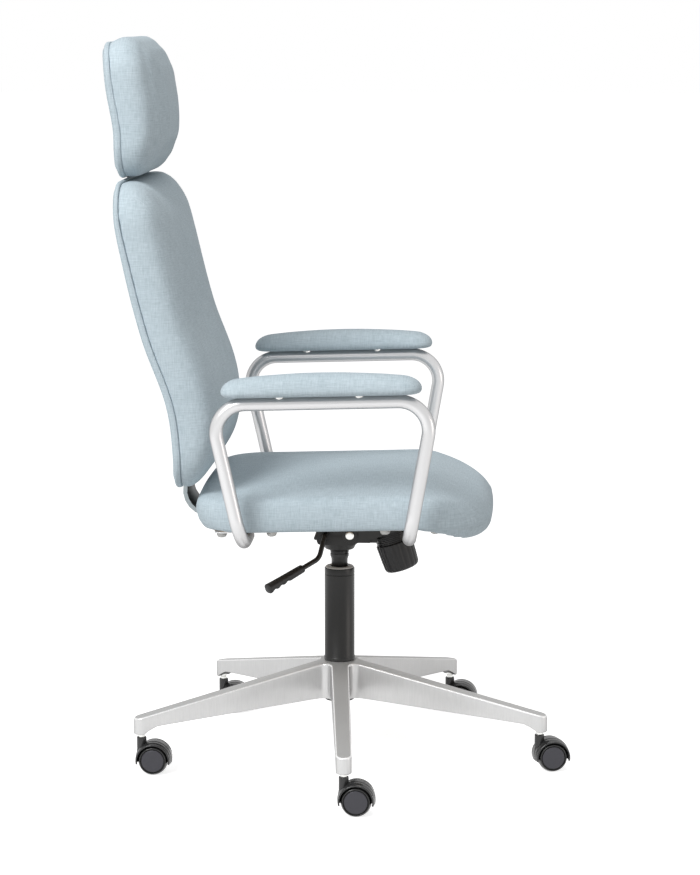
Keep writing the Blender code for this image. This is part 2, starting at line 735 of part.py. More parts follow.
def column_clip():
    """Open spring clip in the rod's groove."""
    inner = ROD_RADIUS - CLIP_GROOVE + FIT
    gap = radians(40)
    arc = [gap / 2 + (2 * pi - gap) * step / 12 for step in range(13)]
    points = [(CLIP_RADIUS * cos(a), CLIP_RADIUS * sin(a)) for a in arc]
    points += [(inner * cos(a), inner * sin(a)) for a in reversed(arc)]
    return shifted(plate(points, CLIP_THICKNESS), z=TUBE_BASE - FIT - CLIP_THICKNESS / 2)


def thrust_bearing():
    inner = ROD_RADIUS + FIT
    base = FLOOR_TOP + FIT
    top = base + BEARING_HEIGHT
    waist = BEARING_RADIUS - 0.0012
    profile = [(inner, top), (BEARING_RADIUS, top), (BEARING_RADIUS, top - 0.0025), (waist, top - 0.003),
               (waist, base + 0.003), (BEARING_RADIUS, base + 0.0025), (BEARING_RADIUS, base), (inner, base)]
    return turned(profile, 12, closed=True)


def cylinder_radius(height):
    """The cylinder's own taper in the housing's socket."""
    share = (height - CONE_BASE) / (CYLINDER_TOP - CONE_BASE)
    return CYLINDER_RADIUS - CYLINDER_TAPER * max(share, 0.0)


def gas_cylinder():
    inside = CYLINDER_RADIUS - CYLINDER_WALL
    roof = CONE_BASE - 0.004
    tip = cylinder_radius(CYLINDER_TOP)
    hole = BUTTON_RADIUS + RUN
    seat = CYLINDER_TOP - BUTTON_HEIGHT
    profile = [
        (0.0, seat), (hole, seat), (hole, CYLINDER_TOP), (tip - 0.001, CYLINDER_TOP),
        (tip, CYLINDER_TOP - 0.001), (CYLINDER_RADIUS, CONE_BASE), (COLLAR_RADIUS, CONE_BASE - FIT),
        (COLLAR_RADIUS, COLLAR_BASE + 0.002), (COLLAR_RADIUS - 0.001, COLLAR_BASE),
        (CYLINDER_RADIUS, COLLAR_BASE), (CYLINDER_RADIUS, CYLINDER_BASE), (ROD_RADIUS + RUN, CYLINDER_BASE),
        (ROD_RADIUS + RUN, CYLINDER_BASE + 0.010), (inside, CYLINDER_BASE + 0.010), (inside, roof),
        (0.0, roof),
    ]
    return turned(profile, 16)


def seat_plane(distance, tilt, y):
    """Height above the tilt axis of a plane square to the seat at a given tilt, y behind the axis."""
    angle = SEAT_PITCH + tilt
    return (distance - y * sin(angle)) / cos(angle)


def spring_seat():
    """Middle of the face the tension spring pushes on, and the unit vector up the knob's axis."""
    up = (sin(KNOB_LEAN), cos(KNOB_LEAN))
    rise = COVER_HEIGHT + 2 * FIT
    return (-KNOB_FORWARD + rise * up[0], -KNOB_DROP + rise * up[1]), up


def tray_outline():
    """Side outline of the housing about the tilt axis, anticlockwise seen from +X."""
    (seat_y, seat_z), up = spring_seat()
    half = KNOB_RADIUS + 0.0012
    near = (seat_y + half * up[1], seat_z - half * up[0])
    far = (seat_y - half * up[1], seat_z + half * up[0])
    base = TRAY_BASE - PIVOT_Z
    rear = TRAY_REAR - PIVOT_Y
    limit = PLATE_BASE - TILT_CLEARANCE
    ridge = limit * sin(SEAT_PITCH + TILT_RANGE / 2) / cos(TILT_RANGE / 2)
    return [
        (far[0], far[1]), (near[0], near[1]), (near[0], base + TRAY_STEP), (-0.014, base + TRAY_STEP),
        (-0.006, base), (rear - 0.007, base), (rear - 0.002, base + 0.002), (rear, base + 0.007),
        (rear, seat_plane(limit, TILT_RANGE, rear)), (ridge, seat_plane(limit, 0.0, ridge)),
        (far[0], seat_plane(limit, 0.0, far[0])),
    ]


def mechanism_housing():
    """Pressed tray with a welded socket for the gas cylinder, open at the top under the seat plate."""
    outline = tray_outline()
    hollow = inset(outline, TRAY_WALL)
    roof = PLATE_BASE + 0.02
    hollow = hollow[:8] + [(hollow[8][0], roof), (hollow[10][0], roof)]
    tray = cut(side_plate(outline, -TRAY_HALF, TRAY_HALF),
               side_plate(hollow, TRAY_WALL - TRAY_HALF, TRAY_HALF - TRAY_WALL))
    column = -PIVOT_Y
    base = TRAY_BASE - PIVOT_Z
    top = CYLINDER_TOP - PIVOT_Z - 0.006
    flare = CONE_RADIUS + CONE_SPREAD
    cone = turned([(0.0, top), (SOCKET_RADIUS, top), (SOCKET_RADIUS, base + TRAY_WALL),
                   (flare, base + TRAY_WALL), (flare, base),
                   (CONE_RADIUS + CONE_SPREAD * 0.35, base - CONE_HEIGHT * 0.4),
                   (CONE_RADIUS, base - CONE_HEIGHT), (0.0, base - CONE_HEIGHT)], 16)
    lip_y = TRAY_REAR - PIVOT_Y + TRAY_LIP * 0.4
    lip = rod([(-TRAY_HALF, lip_y, base + 0.012), (TRAY_HALF, lip_y, base + 0.012)], TRAY_LIP, 2)
    socket = turned([(0.0, CYLINDER_TOP + 0.01), (cylinder_radius(CYLINDER_TOP) + FIT, CYLINDER_TOP + 0.01),
                     (cylinder_radius(CYLINDER_TOP) + FIT, CYLINDER_TOP), (CYLINDER_RADIUS + FIT, CONE_BASE),
                     (CYLINDER_RADIUS + FIT, CONE_BASE - 0.01), (0.0, CONE_BASE - 0.01)], 16)
    pin_hole = across(cylinder(PIN_RADIUS + FIT, -TRAY_HALF - 0.01, TRAY_HALF + 0.01, steps=12))
    shaft_hole = shifted(across(cylinder(LEVER_RADIUS + RUN, -TRAY_HALF - 0.01, 0.0, steps=14)),
                         y=LEVER_BACK, z=LEVER_UP)
    (seat_y, seat_z), _ = spring_seat()
    lean = Matrix.Translation((0, seat_y, seat_z)) @ Matrix.Rotation(-KNOB_LEAN, 4, "X")
    screw_hole = moved(cylinder(SCREW_RADIUS + RUN, -0.02, 0.02, steps=14), lean)
    housing = fused(tray, shifted(cone, y=column), lip)
    return cut(housing, shifted(socket, y=column, z=-PIVOT_Z), pin_hole, shaft_hole, screw_hole)


def pivot_pin():
    """Through pin with a head at each end."""
    shoulder = EAR_OUTSIDE + FIT
    end = shoulder + PIN_HEAD_HEIGHT
    half = [(PIN_HEAD - 0.0012, end), (PIN_HEAD, end - 0.0012), (PIN_HEAD, shoulder), (PIN_RADIUS, shoulder)]
    profile = [(0.0, end)] + half + [(r, -z) for r, z in reversed(half)] + [(0.0, -end)]
    return across(turned(profile, 12))


def release_button():
    """Valve button on top of the gas cylinder."""
    base = CYLINDER_TOP - BUTTON_HEIGHT + BUTTON_PRESS + FIT
    top = CYLINDER_TOP + 0.005
    return turned([(0.0, top), (BUTTON_RADIUS - 0.001, top), (BUTTON_RADIUS, top - 0.001),
                   (BUTTON_RADIUS, base), (0.0, base)], 12)


def tension_knob():
    """Fluted hand knob under the spring cover, its top at z = 0 and its axis on Z."""
    rings = []
    count = KNOB_FLUTES * 2
    low = KNOB_RADIUS - KNOB_TAPER
    for height, radius in ((0.0, KNOB_RADIUS - 0.0012), (-0.0015, KNOB_RADIUS), (-KNOB_HEIGHT + 0.006, low),
                           (-KNOB_HEIGHT + 0.002, low - 0.0025), (-KNOB_HEIGHT, low - 0.008)):
        ring = []
        for i in range(count):
            angle = 2 * pi * i / count
            reach = radius - (KNOB_FLUTE_DEPTH if i % 2 else 0.0)
            ring.append((reach * cos(angle), reach * sin(angle), height))
        rings.append(ring)
    knob = loft(rings)
    return cut(knob, cylinder(SCREW_RADIUS + FIT, -KNOB_HEIGHT * 0.7, 0.01, steps=14))


def tension_screw():
    reach = COVER_HEIGHT + 3 * FIT + SCREW_REACH
    depth = KNOB_HEIGHT * 0.7 - FIT
    return turned([(0.0, reach), (SCREW_RADIUS - 0.001, reach), (SCREW_RADIUS, reach - 0.001),
                   (SCREW_RADIUS, -depth), (0.0, -depth)], 14)


def spring_cover():
    """Ribbed sleeve round the tension spring, standing on the knob's top."""
    pitch = COVER_HEIGHT / COVER_RIBS
    bore = SCREW_RADIUS + RUN
    profile = [(bore, COVER_HEIGHT)]
    for rib in range(COVER_RIBS):
        top = COVER_HEIGHT - rib * pitch
        profile += [(COVER_RADIUS - COVER_RIB_DEPTH, top), (COVER_RADIUS, top - pitch / 2)]
    profile += [(COVER_RADIUS - COVER_RIB_DEPTH, 0.0), (bore, 0.0)]
    return turned(profile, 16, closed=True)


def lever_corners():
    """Corner points of the lever's rod about its shaft, ending inside the grip."""
    wall = TRAY_HALF
    elbow = (-(wall + LEVER_STUB), 0.0, 0.0)
    knee = (-(wall + LEVER_STUB + LEVER_OUT * 0.6), 0.003, -LEVER_DROP)
    along = (-cos(LEVER_SWEEP) * cos(LEVER_FALL), sin(LEVER_SWEEP) * cos(LEVER_FALL), -sin(LEVER_FALL))
    hand = [knee[k] + along[k] * LEVER_ARM for k in range(3)]
    tip = [hand[k] + along[k] * GRIP_LENGTH * 0.5 for k in range(3)]
    return [(-(wall - LEVER_INSIDE), 0.0, 0.0), elbow, knee, tip], Vector(hand), Vector(along)


def lever_rod():
    corners, _, _ = lever_corners()
    return rod(rounded_path(corners, (LEVER_BEND, LEVER_BEND), 5), LEVER_RADIUS, 2)


def lever_grip():
    """Moulded grip with a waist, three finger waves underneath and a flat end."""
    corners, hand, along = lever_corners()
    side = along.cross(Vector((0, 0, 1))).normalized()
    up = side.cross(along)
    sections = []
    for step in range(13):
        share = step / 12
        swell = 0.80 + 0.20 * min(share * 4, 1.0) - 0.12 * max(share - 0.9, 0.0) * 10
        wave = 0.0011 * sin(share * 6 * pi) if 0.2 < share < 0.9 else 0.0
        middle = hand + along * (GRIP_LENGTH * share)
        ring = []
        for i in range(10):
            angle = 2 * pi * i / 10
            rise = GRIP_HALF_HEIGHT * swell * sin(angle)
            if sin(angle) < -0.3:
                rise += wave
            ring.append(middle + side * (GRIP_HALF_WIDTH * swell * cos(angle)) + up * rise)
        sections.append(ring)
    bore = [hand - along * 0.01, hand + along * (GRIP_LENGTH * 0.5 + FIT)]
    return cut(loft(sections), rod(bore, LEVER_RADIUS + FIT, 2))


def tilt_plate():
    """Seat plate with two ears that hang on the tilt axis."""
    ring = [(x, y + (PLATE_REAR - PLATE_FRONT) / 2) for x, y in
            rounded_ring(PLATE_HALF, (PLATE_FRONT + PLATE_REAR) / 2, (0.015, 0.015), 4, 1)]
    top = shifted(plate(ring, PLATE_THICKNESS), z=(PLATE_TOP + PLATE_BASE) / 2)
    lobe = [(EAR_RADIUS * cos(a), EAR_RADIUS * sin(a)) for a in [radians(20 - 22 * k) for k in range(11)]]
    ear = [(EAR_SPREAD, PLATE_TOP - FIT)] + lobe + [(-EAR_SPREAD, PLATE_TOP - FIT)]
    ears = [side_plate(ear[::-1], EAR_INSIDE, EAR_OUTSIDE), side_plate(ear[::-1], -EAR_OUTSIDE, -EAR_INSIDE)]
    hole = across(cylinder(PIN_RADIUS + FIT, -EAR_OUTSIDE - 0.01, EAR_OUTSIDE + 0.01, steps=12))
    return cut(fused(top, *ears), hole)


def bolt_places():
    """Middle of every arm bolt in plan."""
    places = []
    for side in (-1, 1):
        for foot in (ARM_FOOT_REAR, -ARM_FOOT_FRONT):
            for end in (1, -1):
                places.append((side * FOOT_X, foot + end * BOLT_SPACING / 2))
    return places


def seat_pan():
    """Moulded board inside the cushion's underside, drilled for the arm bolts."""
    middle = (SEAT_REAR - SEAT_FRONT) / 2
    half = (SEAT_REAR + SEAT_FRONT) / 2 - PAN_INSET
    ring = [(x, y + middle) for x, y in
            rounded_ring(SEAT_HALF_WIDTH - PAN_INSET, half, (PAN_REAR_CORNER, PAN_FRONT_CORNER), 5, 1)]
    board = shifted(plate(ring, PAN_THICKNESS), z=SEAT_HEIGHT + PAN_THICKNESS / 2)
    depth = BOLT_LENGTH - FOOT_THICKNESS + FIT
    holes = [cylinder(BOLT_RADIUS + FIT, SEAT_HEIGHT - 0.01, SEAT_HEIGHT + depth, x, y, 8)
             for x, y in bolt_places()]
    return cut(board, gathered(holes))


def seat_cushion():
    """Crowned cushion with drawn-in sides and a drooping rounded front, hollowed below for its board."""
    middle = (SEAT_REAR - SEAT_FRONT) / 2
    half = (SEAT_REAR + SEAT_FRONT) / 2
    layers = [(0.060, 0.0), (0.011, 0.0), (0.0035, 0.0035), (0.0, 0.014), (0.001, 0.033),
              (0.007, SEAT_EDGE - 0.0065), (0.021, SEAT_EDGE), (0.050, SEAT_EDGE),
              (0.105, SEAT_EDGE + SEAT_CROWN * 0.4), (0.165, SEAT_EDGE + SEAT_CROWN * 0.85),
              (0.215, SEAT_EDGE + SEAT_CROWN)]

    def place(x, y, rise):
        nose = max((-y - (half - NOSE_LENGTH)) / NOSE_LENGTH, 0.0)
        low = max(1 - rise / NOSE_ROUND_HEIGHT, 0.0)
        y += NOSE_ROUND * nose**1.5 * (1 - sqrt(1 - low**2))
        if y > 0:
            bow = SEAT_BOW * (1 - (x / SEAT_HALF_WIDTH)**2)
            y += (SEAT_TAIL * min(rise / SEAT_EDGE, 1.0) + bow) * (y / half)**2
        return Vector((x, y + middle, SEAT_HEIGHT + rise - SEAT_NOSE * nose**1.4))

    corners = (SEAT_REAR_CORNER, SEAT_FRONT_CORNER)
    cushion = pillow(SEAT_HALF_WIDTH, half, corners, layers, place, corner_steps=6, side_steps=4)
    gap = PAN_INSET - FIT
    pan_corners = (PAN_REAR_CORNER + FIT, PAN_FRONT_CORNER + FIT)
    ring = [(x, y + middle) for x, y in rounded_ring(SEAT_HALF_WIDTH - gap, half - gap, pan_corners, 5, 1)]
    depth = PAN_THICKNESS + FIT
    pocket = shifted(plate(ring, depth + 0.04), z=SEAT_HEIGHT + depth - (depth + 0.04) / 2)
    return cut(cushion, pocket)


def arm_frame():
    """One bent tube from foot to foot, with a drilled plate welded on each foot; the left-hand one."""
    rise = ARM_TOP - FOOT_TUBE
    inner = ARM_SPREAD - ARM_REACH
    rear, front = ARM_FOOT_REAR, -ARM_FOOT_FRONT
    corners = [(inner, rear, FOOT_TUBE), (ARM_SPREAD, rear, FOOT_TUBE),
               (ARM_SPREAD, rear + ARM_LEAN_REAR * rise, ARM_TOP),
               (ARM_SPREAD, front - ARM_LEAN_FRONT * rise, ARM_TOP),
               (ARM_SPREAD, front, FOOT_TUBE), (inner, front, FOOT_TUBE)]
    tube = rod(rounded_path(corners, (ARM_FOOT_BEND, ARM_BEND, ARM_BEND, ARM_FOOT_BEND), 5), ARM_TUBE, 3)
    feet = []
    for foot in (rear, front):
        ring = [(x + FOOT_X, y + foot) for x, y in
                rounded_ring(FOOT_WIDTH / 2, FOOT_LENGTH / 2, (0.012, 0.012), 3, 1)]
        feet.append(shifted(plate(ring, FOOT_THICKNESS), z=FOOT_BASE + FOOT_THICKNESS / 2))
    bolts = [cylinder(BOLT_RADIUS + FIT, FOOT_BASE - 0.01, SEAT_HEIGHT + 0.01, x, y, 8)
             for x, y in bolt_places() if x > 0]
    crest = ARM_TOP + ARM_TUBE
    studs = [cylinder(STUD_SHANK + FIT, crest - STUD_DEPTH, crest + 0.01, ARM_SPREAD, y, 10)
             for y in stud_places()]
    return cut(fused(tube, *feet), gathered(bolts), gathered(studs))


def stud_places():
    return [PAD_MIDDLE + 0.0035 + end * STUD_SPACING / 2 for end in (1, -1)]


def arm_pad():
    """Padded armrest with a flat underside, thinner toward both ends."""
    layers = [(0.020, 0.0), (0.0085, 0.0), (0.002, 0.0014), (0.0, 0.006), (0.0003, 0.0145),
              (0.005, 0.0256), (0.0125, 0.0322), (0.022, PAD_HEIGHT)]

    def place(x, y, rise):
        thin = 1.0 - 0.28 * (y / (PAD_LENGTH / 2))**2
        return Vector((x + ARM_SPREAD, y + PAD_MIDDLE, PAD_BASE + rise * thin))

    corners = (PAD_HALF_WIDTH - PAD_END_FLAT, PAD_HALF_WIDTH - PAD_END_FLAT)
    pad = pillow(PAD_HALF_WIDTH, PAD_LENGTH / 2, corners, layers, place, corner_steps=5, side_steps=2)
    holes = [cylinder(STUD_SHANK + FIT, PAD_BASE - 0.01, PAD_BASE + STUD_DEPTH, ARM_SPREAD, y, 10)
             for y in stud_places()]
    return cut(pad, gathered(holes))


def arm_stud():
    """Stud from the tube into the pad, with a collar that sits on the tube like a saddle at z = 0."""
    shank = STUD_DEPTH - FIT
    collar = cylinder(STUD_RADIUS, -STUD_SADDLE, PAD_LIFT - FIT, steps=14)
    tube = cylinder(ARM_TUBE + FIT, -2 * STUD_RADIUS, 2 * STUD_RADIUS, steps=24)
    tube = shifted(moved(tube, Matrix.Rotation(pi / 2, 4, "X")), z=-ARM_TUBE)
    return fused(cut(collar, tube), cylinder(STUD_SHANK, -shank, PAD_LIFT + shank, steps=10))


def arm_bolt():
    """Pan-head bolt, its bearing face at z = 0 under the foot plate."""
    return turned([(0.0, BOLT_LENGTH), (BOLT_RADIUS, BOLT_LENGTH), (BOLT_RADIUS, 0.0), (BOLT_HEAD, 0.0),
                   (BOLT_HEAD, -BOLT_HEAD_HEIGHT * 0.5), (BOLT_HEAD * 0.6, -BOLT_HEAD_HEIGHT),
                   (0.0, -BOLT_HEAD_HEIGHT)], 8)


def on_back(x, height, rise):
    """A point at a depth in front of the back's own curved sheet."""
    depth, slope = smooth_line(BACK_PROFILE, height)
    run = sqrt(1 + slope**2)
    return Vector((x, depth - rise / run, height + rise * slope / run))


def back_pad(bottom, top, half_width, corner, layers, low_end=(1.0, 0.0), high_end=(1.0, 0.0), fullness=0.0,
             dip=0.0):
    """Padded slab or panel on the back's curve; each end thins over a height and by a share.

    A panel thins only at its sides, so that its middle covers the bar inside it. The upper end dips at
    the seam.
    """
    middle = (bottom + top) / 2

    def place(x, y, rise):
        if y > 0:
            near = min(max(1 - rise / DIP_DEPTH, 0.0), 1.0)
            y -= dip * near * (y / (top - middle))**4
        height = y + middle
        round_off = max(1 - (x / half_width)**2, 0.0)
        low = min((height - bottom) / low_end[0], 1.0)
        high = min((top - height) / high_end[0], 1.0)
        if rise > 0:
            rise *= 1 - low_end[1] * (1 - sin(low * pi / 2)) - high_end[1] * (1 - sin(high * pi / 2))
        if rise <= -SHELL_THICKNESS:
            rise -= SHELL_CROWN * round_off
        if rise < 0:
            rise *= 1 - high_end[1] * (1 - high)**2 * (1 - round_off)
        point = on_back(x, height, rise)
        return Vector((point.x, point.y, min(max(point.z, bottom), top)))

    return pillow(half_width, (top - bottom) / 2, (corner, corner), layers, place, fullness,
                  corner_steps=5, side_steps=4)


def cushion_layers(edge, crown, rings):
    layers = [(amount, FIT / 2) for amount in rings[::-1]]
    layers += [(0.0065, FIT / 2), (0.0015, 0.007), (0.0, edge * 0.36), (0.0017, edge * 0.57),
               (0.0085, edge * 0.81), (0.0225, edge * 0.97)]
    for i, amount in enumerate(rings):
        layers.append((amount, edge + crown * (i + 1.2) / (len(rings) + 0.2)))
    return layers


def shell_layers(rings):
    layers = [(amount, -FIT / 2) for amount in rings[::-1]]
    depth = SHELL_THICKNESS
    layers += [(0.0065, -FIT / 2), (0.0015, -depth * 0.22), (0.0005, -depth * 0.5), (0.006, -depth * 0.85)]
    return layers + [(amount, -depth) for amount in rings[::-2][::-1]]


def bracket_path():
    """Middle line of the bent bar that carries the back, from under the seat up into the rear panel."""
    level = SEAT_HEIGHT - FIT - BRACKET_THICKNESS / 2
    foot = on_back(0.0, BACK_BOTTOM, -SHELL_THICKNESS * BAR_DEPTH)
    _, slope = smooth_line(BACK_PROFILE, BACK_BOTTOM)
    corner = (0.0, foot.y - slope * (BACK_BOTTOM - level) + BRACKET_LEAN, level)
    path = rounded_path([(0.0, BRACKET_FRONT, level), corner, foot], (BRACKET_BEND,), 6)
    line = [(point.y, point.z) for point in path]
    steps = 6
    for step in range(1, steps + 1):
        height = BACK_BOTTOM + (BRACKET_TOP - BACK_BOTTOM) * step / steps
        point = on_back(0.0, height, -SHELL_THICKNESS * BAR_DEPTH)
        line.append((point.y, point.z))
    return line


def head_bar_path():
    steps = 9
    heights = [HEAD_BAR_BOTTOM + (HEAD_BAR_TOP - HEAD_BAR_BOTTOM) * step / steps for step in range(steps + 1)]
    points = [on_back(0.0, height, -SHELL_THICKNESS * BAR_DEPTH) for height in heights]
    return [(point.y, point.z) for point in points]


def bar(path, thickness, half_width):
    return side_plate(bar_outline(path, thickness), -half_width, half_width)


def longer(path, amount):
    """Push both ends of a path on along their own direction."""
    (y0, z0), (y1, z1) = path[:2]
    (y2, z2), (y3, z3) = path[-2:]
    first, last = hypot(y1 - y0, z1 - z0), hypot(y3 - y2, z3 - z2)
    start = (y0 - (y1 - y0) / first * amount, z0 - (z1 - z0) / first * amount)
    end = (y3 + (y3 - y2) / last * amount, z3 + (z3 - z2) / last * amount)
    return [start] + path[1:-1] + [end]


def slot(path, thickness, half_width):
    return bar(longer(path, FIT), thickness + 2 * FIT, half_width + FIT)


def castor_hood():
    """Hood with its centre web, axle and stem neck; x = y = 0 is the swivel axis, z = 0 the axle's height."""
    rim = HOOD_RADIUS - HOOD_CROWN
    half = [(0.0, HOOD_HALF), (rim - 0.001, HOOD_HALF), (rim, HOOD_HALF - 0.001),
            (HOOD_RADIUS - HOOD_CROWN * 0.3, HOOD_HALF * 0.55)]
    profile = half + [(HOOD_RADIUS, 0.0)] + [(r, -z) for r, z in reversed(half)]
    body = shifted(across(turned(profile, 20)), y=-TRAIL)
    neck = cylinder(NECK_RADIUS, -0.002, NECK_TOP - AXLE_HEIGHT, steps=12)
    wells = []
    for side in (-1, 1):
        ends = sorted((side * WEB_THICKNESS / 2, side * (HOOD_HALF + 0.01)))
        stub = WHEEL_INSIDE + AXLE_DEPTH
        ring = [(AXLE_RADIUS, ends[1]), (WELL_RADIUS, ends[1])]
        ring += [(WELL_RADIUS, ends[0]), (AXLE_RADIUS, ends[0])]
        wells.append(shifted(across(turned(ring, 20, closed=True)), y=-TRAIL))
        tip = sorted((side * stub, side * (HOOD_HALF + 0.01)))
        wells.append(box(*tip, -TRAIL - 0.006, -TRAIL + 0.006, -0.006, 0.006))
    below = box(-HOOD_HALF - 0.01, HOOD_HALF + 0.01, -TRAIL - 0.05, -TRAIL + 0.05, -0.06, -HOOD_SKIRT)
    top = NECK_TOP - AXLE_HEIGHT
    hole = cylinder(STEM_RADIUS + RUN, top - STEM_FOOT - FIT, top + 0.01, steps=10)
    return cut(fused(body, neck), *wells, below, hole)


def castor_wheel():
    """Wheel with a rounded shoulder and a face cap, its outer face toward +Z and its inner face at z = 0."""
    face = WHEEL_WIDTH
    bore = AXLE_RADIUS + RUN
    profile = [
        (0.0, face + 0.0006), (CAP_RADIUS - 0.0008, face + 0.0006), (CAP_RADIUS, face - 0.0008),
        (CAP_RADIUS + 0.0012, face - 0.0006), (WHEEL_RADIUS - 0.0012, face - 0.0035),
        (WHEEL_RADIUS, face - 0.007), (WHEEL_RADIUS, 0.0), (bore, 0.0), (bore, AXLE_DEPTH + RUN),
        (0.0, AXLE_DEPTH + RUN),
    ]
    return moved(turned(profile, WHEEL_STEPS), Matrix.Rotation(pi / WHEEL_STEPS, 4, "Z"))


def castor_stem():
    """Stem with a grip ring, its foot in the castor and its head in the leg; z = 0 is the top of the neck."""
    ring = STEM_SHOW + STEM_INSERT * 0.75
    top = STEM_SHOW + STEM_INSERT
    neck = STEM_RADIUS - 0.0006
    return turned([(0.0, top), (STEM_RADIUS - 0.001, top), (STEM_RADIUS, ring), (neck, ring - 0.0008),
                   (STEM_RADIUS, ring - 0.0031), (STEM_RADIUS, -STEM_FOOT), (0.0, -STEM_FOOT)], 10)


def mirrored(mesh):
    copy = mesh.copy()
    return moved(copy, Matrix.Scale(-1, 4, (1, 0, 0)))


# Base and column
root = empty("chair_root", None, (COLUMN_X, COLUMN_Y, 0.0))
add("base_star", base_star(), ALUMINIUM, root)
add("column_tube", column_tube(), BLACK_STEEL, root)
add("column_guide", column_guide(), GREY_PLASTIC, root)
add("column_clip", column_clip(), ZINC, root)

# Castors, trailing toward the front
hood_mesh, stem_mesh = castor_hood(), castor_stem()
wheel_mesh = castor_wheel()
for number, angle in enumerate(leg_angles(), start=1):
    x, y = STEM_CIRCLE * cos(angle), STEM_CIRCLE * sin(angle)
    add(f"castor_stem_{number}", stem_mesh, ZINC, root, (x, y, NECK_TOP))
    turn = CASTOR_TURNS[number - 1]
    hood = add(f"castor_hood_{number}", hood_mesh, BLACK_PLASTIC, root, (x, y, AXLE_HEIGHT), (0.0, 0.0, turn))
    for side, sign in (("a", -1), ("b", 1)):
        place = (sign * WHEEL_INSIDE, -TRAIL, 0.0)
        add(f"castor_wheel_{number}{side}", wheel_mesh, WHEEL_PLASTIC, hood, place, (0.0, sign * pi / 2, 0.0))

# Gas lift
piston = add("piston_rod", piston_rod(), ZINC, root)
add("thrust_bearing", thrust_bearing(), ZINC, piston)
lift = add("gas_cylinder", gas_cylinder(), BLACK_STEEL, piston)
add("release_button", release_button(), ZINC, lift)

# Tilt mechanism
add("mechanism_housing", mechanism_housing(), BLACK_STEEL, lift, (0.0, PIVOT_Y, PIVOT_Z))
add("tilt_pivot_pin", pivot_pin(), ZINC, lift, (0.0, PIVOT_Y, PIVOT_Z))
knob_place = (0.0, PIVOT_Y - KNOB_FORWARD, PIVOT_Z - KNOB_DROP)
knob = add("tension_knob", tension_knob(), BLACK_PLASTIC, lift, knob_place, (-KNOB_LEAN, 0.0, 0.0))
add("tension_screw", tension_screw(), ZINC, knob)
cover_place = (0.0, knob_place[1] + FIT * sin(KNOB_LEAN), knob_place[2] + FIT * cos(KNOB_LEAN))
add("spring_cover", spring_cover(), BLACK_PLASTIC, lift, cover_place, (-KNOB_LEAN, 0.0, 0.0))
lever = add("lever_rod", lever_rod(), BLACK_STEEL, lift, (0.0, PIVOT_Y + LEVER_BACK, PIVOT_Z + LEVER_UP))
add("lever_grip", lever_grip(), BLACK_PLASTIC, lever)

# Seat, back and arms ride on the tilt axis, pitched with the front up
tilt = empty("tilt_axis", lift, (0.0, PIVOT_Y, PIVOT_Z), (-SEAT_PITCH, 0.0, 0.0))
add("tilt_plate", tilt_plate(), BLACK_STEEL, tilt)
add("seat_pan", seat_pan(), BOARD, tilt)
add("seat_cushion", seat_cushion(), FABRIC, tilt)

left_frame, left_pad = arm_frame(), arm_pad()
stud_mesh, bolt_mesh = arm_stud(), arm_bolt()
for side, sign in (("left", 1), ("right", -1)):
    add(f"arm_frame_{side}", left_frame if sign > 0 else mirrored(left_frame), SILVER, tilt)
    add(f"arm_pad_{side}", left_pad if sign > 0 else mirrored(left_pad), FABRIC, tilt)
    for end, y in zip(("rear", "front"), stud_places()):
        add(f"arm_stud_{side}_{end}", stud_mesh, ZINC, tilt, (sign * ARM_SPREAD, y, ARM_TOP + ARM_TUBE))
    for number, (x, y) in enumerate([place for place in bolt_places() if place[0] * sign > 0], start=1):
        add(f"arm_bolt_{side}_{number}", bolt_mesh, ZINC, tilt, (x, y, FOOT_BASE - FIT))

back_rings = (0.055, 0.105, 0.160, 0.200)
head_rings = (0.045, 0.075, 0.100)
bracket = bracket_path()
head_bar = head_bar_path()
bracket_slot = slot(bracket, BRACKET_THICKNESS, BRACKET_HALF_WIDTH)
head_slot = slot(head_bar, HEAD_BAR_THICKNESS, HEAD_BAR_HALF_WIDTH)
back_size = (BACK_BOTTOM, BACK_TOP, BACK_HALF_WIDTH, BACK_CORNER)
back_layers = cushion_layers(BACK_EDGE, BACK_CROWN, back_rings)
back_cushion = back_pad(*back_size, back_layers, BACK_LOW_END, BACK_HIGH_END, BACK_FULLNESS)
back_panel = back_pad(*back_size, shell_layers(back_rings), high_end=BACK_PANEL_END)
back_shell = cut(back_panel, bracket_slot, head_slot)
add("back_bracket", bar(bracket, BRACKET_THICKNESS, BRACKET_HALF_WIDTH), SLATE, tilt)
add("back_shell", back_shell, FABRIC, tilt)
add("back_cushion", back_cushion, FABRIC, tilt)
head_size = (HEAD_BOTTOM, HEAD_TOP, HEAD_HALF_WIDTH, HEAD_CORNER)
head_layers = cushion_layers(HEAD_EDGE, HEAD_CROWN, head_rings)
head_cushion = back_pad(*head_size, head_layers, HEAD_LOW_END, HEAD_HIGH_END, HEAD_FULLNESS, HEAD_DIP)
head_panel = back_pad(*head_size, shell_layers(head_rings), high_end=HEAD_PANEL_END, dip=HEAD_DIP)
head_shell = cut(head_panel, slot(head_bar, HEAD_BAR_THICKNESS, HEAD_BAR_HALF_WIDTH))
add("headrest_bar", bar(head_bar, HEAD_BAR_THICKNESS, HEAD_BAR_HALF_WIDTH), BLACK_STEEL, tilt)
add("headrest_shell", head_shell, FABRIC, tilt)
add("headrest_cushion", head_cushion, FABRIC, tilt)
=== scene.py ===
import json
from math import asin, atan, atan2, cos, hypot, pi, radians, sin, sqrt, tan

import bmesh
import bpy
import numpy as np
from mathutils import Matrix, Vector


